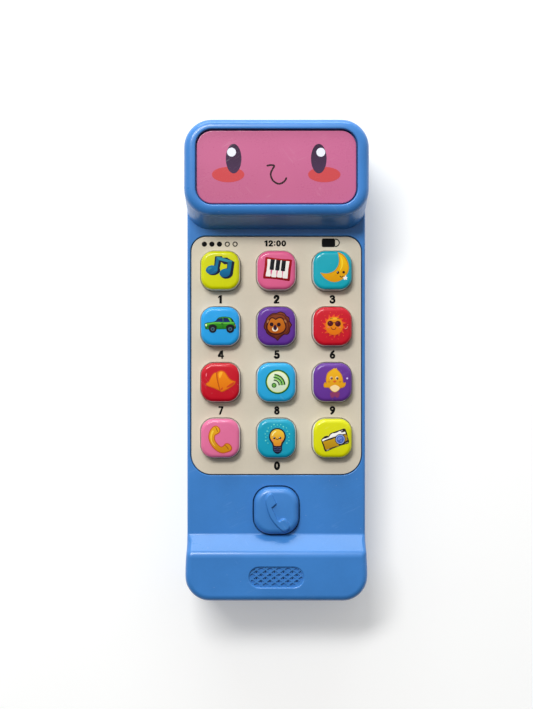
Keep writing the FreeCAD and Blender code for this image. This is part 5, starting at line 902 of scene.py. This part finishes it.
def cap(name, at, w, h, r, top, edge, crown, material, slot, node, body, height=None, corner=12, side=7, inner=12, rim=11, flange=0.8):
    """A hollow cap lofted from its crown's centre over the edge, down the skirt and back up inside to the stem."""
    height = height or (lambda x, y: pillow(x, y, w, h, r, top, edge, DRAFT, crown))
    rings, kinds = [], []
    d0 = DRAFT + edge

    def ring(d, z=None, grow=1.0):
        pts = rounded_ring(w - 2 * d, h - 2 * d, r - d, corner, side)
        return [(x * grow, y * grow, height(x * grow, y * grow) if z is None else z) for x, y in pts]

    for k in range(1, inner + 1):
        rings.append(ring(d0, grow=k / inner))
    for k in range(1, rim + 1):
        a = math.pi / 2 * k / rim
        rings.append(ring(DRAFT + edge * (1 - math.sin(a))))
    skirt_top = height(0.0, h / 2 - DRAFT)
    for d, z in ((DRAFT * 0.9, skirt_top - 0.10), (DRAFT * 0.62, skirt_top - 0.55), (DRAFT * 0.3, 18.3), (0.02, 17.5), (0.0, 16.9),
                 (0.0, 15.9), (-0.1, 15.8)):
        rings.append(ring(d, z))
    wf, hf = w + 2 * flange, h + 2 * flange
    for e, z in ((0.25, 15.8), (0.0, 15.62), (0.0, 14.98), (0.25, 14.8)):
        rings.append([(x, y, z) for x, y in rounded_ring(wf - 2 * e, hf - 2 * e, 2.5 - e, corner, side)])
    for e, z in ((-0.1, 14.8), (0.0, 15.0), (0.0, top - 2.0), (0.3, top - 1.75)):
        rings.append([(x, y, z) for x, y in rounded_ring(w - 2.6 - 2 * e, h - 2.6 - 2 * e, r - 1.3 - e, corner, side)])
    turn = [math.atan2(y, x) for x, y, _ in rings[inner - 1]]
    for rad, z in ((2.35, top - 1.7), (2.0, top - 2.0), (2.0, 13.65), (1.85, 13.5)):
        rings.append([(rad * math.cos(a), rad * math.sin(a), z) for a in turn])
    verts, faces = loft(rings)
    verts = [(x + at[0], y + at[1], z) for x, y, z in verts]
    ob = make(name, verts, faces, material, body)
    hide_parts(node)
    return ob


def key_material(name, colour, cx, cy):
    """Coloured film over a pale cap. The film ends on the round edge, and wraps lower on the sides that face away from
    the keypad's middle, so the thin pale rim shows on the near and inner sides."""
    film = seen(*colour)
    rgb = lin(*colour)
    pale = tuple(c + (0.92 - c) * 0.78 for c in rgb[:3]) + (1.0,)
    way = -1.0 if cx < -9 else (1.0 if cx > 9 else 0.0)

    def base(t):
        z = t.axis("Z")
        n = t.math("MULTIPLY", t.math("SUBTRACT", t.noise(0.8, 2.0), 0.5), 0.12)
        out = t.math("MULTIPLY", t.math("SUBTRACT", t.axis("X"), cx), way / 6.7)
        out = t.math("MAXIMUM", out, t.math("DIVIDE", t.math("SUBTRACT", t.axis("Y"), cy), 6.7))
        low = t.step(out, 0.60, 0.90, 0.0, 1.5)
        up = t.step(t.math("ADD", t.math("ADD", z, n), low), 20.50, 20.72)
        # painted shade: the film is darker where the top turns away from straight up
        film_painted_shade = t.mix(t.step(t.up(), 0.25, 0.97), times(film, 0.90), film)
        return t.mix(up, pale, film_painted_shade)
    return moulded(name, film, rough=0.30, vary=0.04, peel=0.0012, grain=0.0003, edge_wear_and_highlight=0.10, marks=0.08, dust=0.06, base=base,
                   coat=0.45, worn=pale, level=0.18)


ink = inked("printed_ink", rough=0.30, coat=0.30, halftone=0.08, level=0.15)
INK = {k: seen(*v) for k, v in INKS.items()}

for n, (slot, _) in KEYS.items():
    lo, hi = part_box(n)
    centre = (round((lo.x + hi.x) / 2 / MM, 3), round((lo.y + hi.y) / 2 / MM, 3))
    film = key_material(n + "_gloss", KEYS[n][1], *centre)
    cap(n + "_cap_gloss", centre, W, W, R, TOP, EDGE, CROWN, film, slot, n, n + "_cap")
    p = Print(pillow)
    for kind, colour, data, opt in ICONS[n]:
        if kind == "E":
            outline = ellipse(*data, n=24 if data[2] < 0.6 else 44)
        elif kind == "P":
            outline = data
        elif kind == "S":
            outline = smooth_line(data, True, opt.get("corner", ()), 5)
        else:
            outline = stroke(data, opt["w"], opt.get("flat", False))
        outline = [(x * 0.985, y * 0.985) for x, y in outline]
        p.lay([outline], INK[colour], INK[opt["to"]] if "to" in opt else None)
    p.finish(n + "_picture", ink, n + "_cap", centre)

# --------------------------------------------------------------------------------------------------
# call button with a raised handset
# --------------------------------------------------------------------------------------------------
HANDSET = [(-3.41, 4.52), (-3.55, 3.41), (-3.27, 1.74), (-2.72, -0.21), (-1.88, -2.15), (-0.77, -3.82), (0.62, -5.35), (2.01, -6.47),
           (2.85, -6.75), (3.68, -6.33), (4.38, -5.35), (3.96, -4.1), (3.26, -2.85), (2.57, -2.5), (1.73, -2.71), (0.9, -3.27),
           (0.06, -2.15), (-0.77, -0.35), (-1.47, 1.18), (-1.19, 1.46), (-0.07, 2.57), (-0.28, 3.13), (-0.91, 4.52), (-1.47, 5.63),
           (-2.16, 5.91), (-3.0, 5.36)]
handset = smooth_line(HANDSET, True, (), 4)
CW, CH, CR, CTOP = 15.2, 16.0, 5.6, 21.0


def call_top(x, y):
    z = pillow(x, y, CW, CH, CR, CTOP, 1.9, 0.22, 0.22)
    if -4.6 < x < 5.4 and -7.8 < y < 6.9:
        d = near(handset, x, y)
        d = d if within(handset, x, y) else -d
        u = min(max((d + 0.20) / 0.46, 0.0), 1.0)
        z += 0.78 * u * u * (3 - 2 * u)
    return z


lo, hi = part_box("call_button")
call_mat = moulded("call_button_blue", BLUE, rough=0.30, vary=0.04, peel=0.0018, grain=0.0005, edge_wear_and_highlight=0.18, marks=0.12, dust=0.08,
                   worn=lin(128, 176, 230), coat=0.2)
cap("call_button_cap_gloss", (0.0, round((lo.y + hi.y) / 2 / MM, 3)), CW, CH, CR, CTOP, 1.7, 0.22, call_mat, "shell_blue",
    "call_button", "call_button_cap", height=call_top, corner=26, side=26, inner=44, rim=14)

# --------------------------------------------------------------------------------------------------
# printing on the cream panel: key numbers, dots, clock and battery symbol
# --------------------------------------------------------------------------------------------------
def arc(cx, cy, rx, ry, a0, a1, n=12):
    return [(cx + rx * math.cos(math.radians(a0 + (a1 - a0) * k / n)), cy + ry * math.sin(math.radians(a0 + (a1 - a0) * k / n))) for k in range(n + 1)]


def loop(cx, cy, rx, ry, w):
    return [stroke(arc(cx, cy, rx, ry, a, a + 130), w, smooth=False) for a in (-5, 115, 235)]


def glyphs(pen):
    return {
        "0": (0.66, loop(0, 0.5, 0.215, 0.385, pen)),
        "1": (0.46, [[(-0.27, 0.60), (-0.27, 0.80), (-0.02, 1.0), (0.18, 1.0), (0.18, 0.0), (-0.105, 0.0), (-0.105, 0.735)]]),
        "2": (0.64, [stroke([(-0.215, 0.69), (-0.16, 0.83), (0.0, 0.885), (0.16, 0.82), (0.20, 0.67), (0.12, 0.50), (-0.06, 0.30), (-0.20, 0.13)], pen),
                     [(-0.32, 0.0), (0.32, 0.0), (0.32, 0.21), (-0.30, 0.21)]]),
        "3": (0.64, [stroke([(-0.22, 0.79), (-0.10, 0.875), (0.06, 0.88), (0.17, 0.79), (0.15, 0.64), (0.02, 0.555)], pen * 0.87),
                     stroke([(-0.05, 0.55), (0.10, 0.54), (0.205, 0.43), (0.21, 0.26), (0.10, 0.135), (-0.06, 0.115), (-0.18, 0.16), (-0.23, 0.26)], pen * 0.87)]),
        "4": (0.68, [stroke([(0.07, 0.90), (-0.25, 0.32)], pen, True), [(-0.36, 0.20), (0.34, 0.20), (0.34, 0.39), (-0.36, 0.39)],
                     [(0.04, 0.0), (0.25, 0.0), (0.25, 1.0), (0.04, 1.0)]]),
        "5": (0.64, [[(-0.24, 0.80), (0.27, 0.80), (0.27, 1.0), (-0.24, 1.0)], [(-0.26, 0.47), (-0.06, 0.47), (-0.04, 1.0), (-0.24, 1.0)],
                     stroke([(-0.14, 0.545), (0.0, 0.585), (0.14, 0.53), (0.21, 0.38), (0.18, 0.21), (0.06, 0.125), (-0.09, 0.12), (-0.22, 0.21)], pen)]),
        "6": (0.64, loop(0, 0.31, 0.205, 0.20, pen * 0.87) + [stroke([(0.13, 0.88), (-0.03, 0.74), (-0.15, 0.55), (-0.205, 0.36)], pen * 0.87)]),
        "7": (0.60, [[(-0.29, 0.80), (0.29, 0.80), (0.29, 1.0), (-0.29, 1.0)], [(0.05, 0.80), (0.29, 0.80), (0.29, 0.86), (-0.02, 0.0), (-0.26, 0.0)]]),
        "8": (0.64, loop(0, 0.73, 0.165, 0.16, pen * 0.85) + loop(0, 0.305, 0.205, 0.195, pen * 0.87)),
        "9": (0.64, loop(0, 0.69, 0.205, 0.20, pen * 0.87) + [stroke([(-0.13, 0.12), (0.03, 0.26), (0.15, 0.45), (0.205, 0.64)], pen * 0.87)]),
        ":": (0.30, [ellipse(0, 0.24, 0.12, 0.12, n=16), ellipse(0, 0.74, 0.12, 0.12, n=16)]),
    }


DIGITS, CLOCK = glyphs(0.29), glyphs(0.24)


def word(text, x, y, height, gap=0.07, letters=DIGITS):
    """The outlines of a word, centred on x and y."""
    wide = sum(letters[c][0] for c in text) + gap * (len(text) - 1)
    at, out = -wide / 2, []
    for c in text:
        w, shapes = letters[c]
        at += w / 2
        out.append([[(x + (px + at) * height, y + (py - 0.5) * height) for px, py in s] for s in shapes])
        at += w / 2 + gap
    return out


PANEL = round(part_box("keypad_panel")[1].z / MM, 3)
p = Print(lambda x, y: PANEL, base=0.03, step=0.0, spacing=0)
for text, x, y in (("1", -18.9, 21.2), ("2", 0.1, 21.2), ("3", 19.0, 21.2), ("4", -18.7, 2.55), ("5", 0.2, 2.55), ("6", 19.0, 2.55),
                   ("7", -18.7, -16.35), ("8", 0.2, -16.35), ("9", 19.0, -16.35), ("0", 0.25, -35.05)):
    for glyph in word(text, x, y - 0.05, 2.85):
        p.lay(glyph, BLACK)
for glyph in word("12:00", -0.3, 40.05, 2.05, 0.07, CLOCK):
    p.lay([[(-0.3 + (x + 0.3) * 1.18, y) for x, y in o] for o in glyph], BLACK)
for x in (-24.31, -21.75, -19.2):
    p.lay([ellipse(x, 39.8, 0.88, n=28)], BLACK)
for x in (-16.55, -13.92):
    p.lay([stroke(arc(x, 39.8, 0.70, 0.70, a, a + 130, 9), 0.36, smooth=False) for a in (0, 120, 240)], BLACK)
# the battery symbol: a solid charge, a gap and a round tip drawn in outline
p.lay([[(17.64 + x, 40.255 + y) for x, y in rounded_ring(4.52, 2.93, 0.55, 6, 1)]], BLACK)
p.lay([stroke(arc(19.75, 40.255, 1.55, 1.30, 78, -78, 16), 0.34, smooth=False),
       stroke([(20.02, 41.52), (20.42, 41.42)], 0.34, smooth=False), stroke([(20.02, 38.99), (20.42, 39.09)], 0.34, smooth=False)], BLACK)
p.finish("keypad_print", inked("keypad_black_ink", rough=0.55, halftone=0.05, level=0.08, marks=0.0), "housing")

# --------------------------------------------------------------------------------------------------
# printing on the face panel
# --------------------------------------------------------------------------------------------------
FACE = round(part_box("face_panel")[1].z / MM, 3)
face_ink = inked("face_ink", rough=0.24, halftone=0.05, coat=0.2)
p = Print(lambda x, y: FACE, base=0.02, step=0.012, spacing=1.2)
for x in (-15.91, 15.68):
    p.lay([ellipse(x, 61.61, 5.32, 2.52, n=72)], seen(203, 70, 74), lift=0.02)
for x in (-14.10, 13.88):
    p.lay([ellipse(x, 66.85, 2.56, 4.85, n=72)], seen(52, 28, 56), seen(70, 42, 76), lift=0.032)
for x, y in ((-14.79, 69.0), (14.55, 68.95)):
    p.lay([ellipse(x, y, 1.46, n=48)], seen(236, 238, 250), lift=0.044)
MOUTH = [(-3.02, 64.54), (-2.0, 64.74), (-0.95, 64.66), (-0.78, 64.3), (-1.35, 63.35), (-1.88, 62.1), (-1.8, 60.9), (-1.1, 59.6), (0.0, 58.8),
         (1.1, 58.6), (2.2, 59.1), (2.9, 59.8), (3.2, 60.45)]
p.lay([stroke(MOUTH, 0.58, corners=(3,))], seen(44, 18, 26), lift=0.02)
p.finish("face_print", face_ink, "housing")

# --------------------------------------------------------------------------------------------------
# floor, light and camera
# --------------------------------------------------------------------------------------------------
t = Tree("pale_floor")
floor_col = t.mix(t.noise(0.02, 2.0), (0.70, 0.70, 0.70, 1), (0.725, 0.725, 0.72, 1))
t.out(Base_Color=floor_col, Emission_Color=(1.0, 1.0, 1.0, 1.0), Emission_Strength=0.31, Roughness=t.math("ADD", 0.62, t.math("MULTIPLY", t.noise(0.4, 3.0), 0.1)), Specular_IOR_Level=0.2,
      Normal=t.bump(t.noise(2.0, 3.0), 0.003))
me = bpy.data.meshes.new("floor")
me.from_pydata([(-3, -3, -0.0004), (3, -3, -0.0004), (3, 3, -0.0004), (-3, 3, -0.0004)], [], [(0, 1, 2, 3)])
me.materials.append(t.material)
floor = bpy.data.objects.new("floor", me)
scene.collection.objects.link(floor)


def softbox(name, at, size, power, colour=(1, 1, 1), target=(0, 0, 0.02), size_y=None):
    data = bpy.data.lights.new(name, "AREA")
    data.energy, data.color, data.size = power, colour, size
    if size_y:
        data.shape, data.size_y = "RECTANGLE", size_y
    ob = bpy.data.objects.new(name, data)
    ob.location = at
    ob.rotation_euler = (Vector(target) - Vector(at)).to_track_quat("-Z", "Y").to_euler()
    scene.collection.objects.link(ob)
    return ob


softbox("key_light", (-0.27, 0.52, 0.77), 0.50, 7.6, (1.0, 0.995, 0.98), size_y=0.18)
softbox("window", (-0.10, 0.95, 0.24), 0.9, 5.6, (0.84, 0.955, 1.0), size_y=0.26)

# the room: bright on the window's side, dim on the other
world = bpy.data.worlds.new("studio")
scene.world = world
world.use_nodes = True
tree = world.node_tree
where = tree.nodes.new("ShaderNodeTexCoord")
split = tree.nodes.new("ShaderNodeSeparateXYZ")
tree.links.new(where.outputs["Generated"], split.inputs[0])
ramp = tree.nodes.new("ShaderNodeMapRange")
ramp.interpolation_type = "SMOOTHSTEP"
for key, v in (("From Min", -0.6), ("From Max", 0.7), ("To Min", 0.03), ("To Max", 0.72)):
    ramp.inputs[key].default_value = v
tree.links.new(split.outputs[1], ramp.inputs["Value"])
back = tree.nodes["Background"]
back.inputs["Color"].default_value = (1.0, 0.99, 0.975, 1)
tree.links.new(ramp.outputs[0], back.inputs["Strength"])

scene.view_settings.view_transform = "Standard"
scene.view_settings.look = "None"

data = bpy.data.cameras.new("camera")
data.sensor_width = 36.0
data.lens = 60.12
data.clip_start = 0.01
camera = bpy.data.objects.new("camera", data)
camera.location = (-0.0033, 0.0025, 0.418)
scene.collection.objects.link(camera)
scene.camera = camera

bpy.context.view_layer.update()
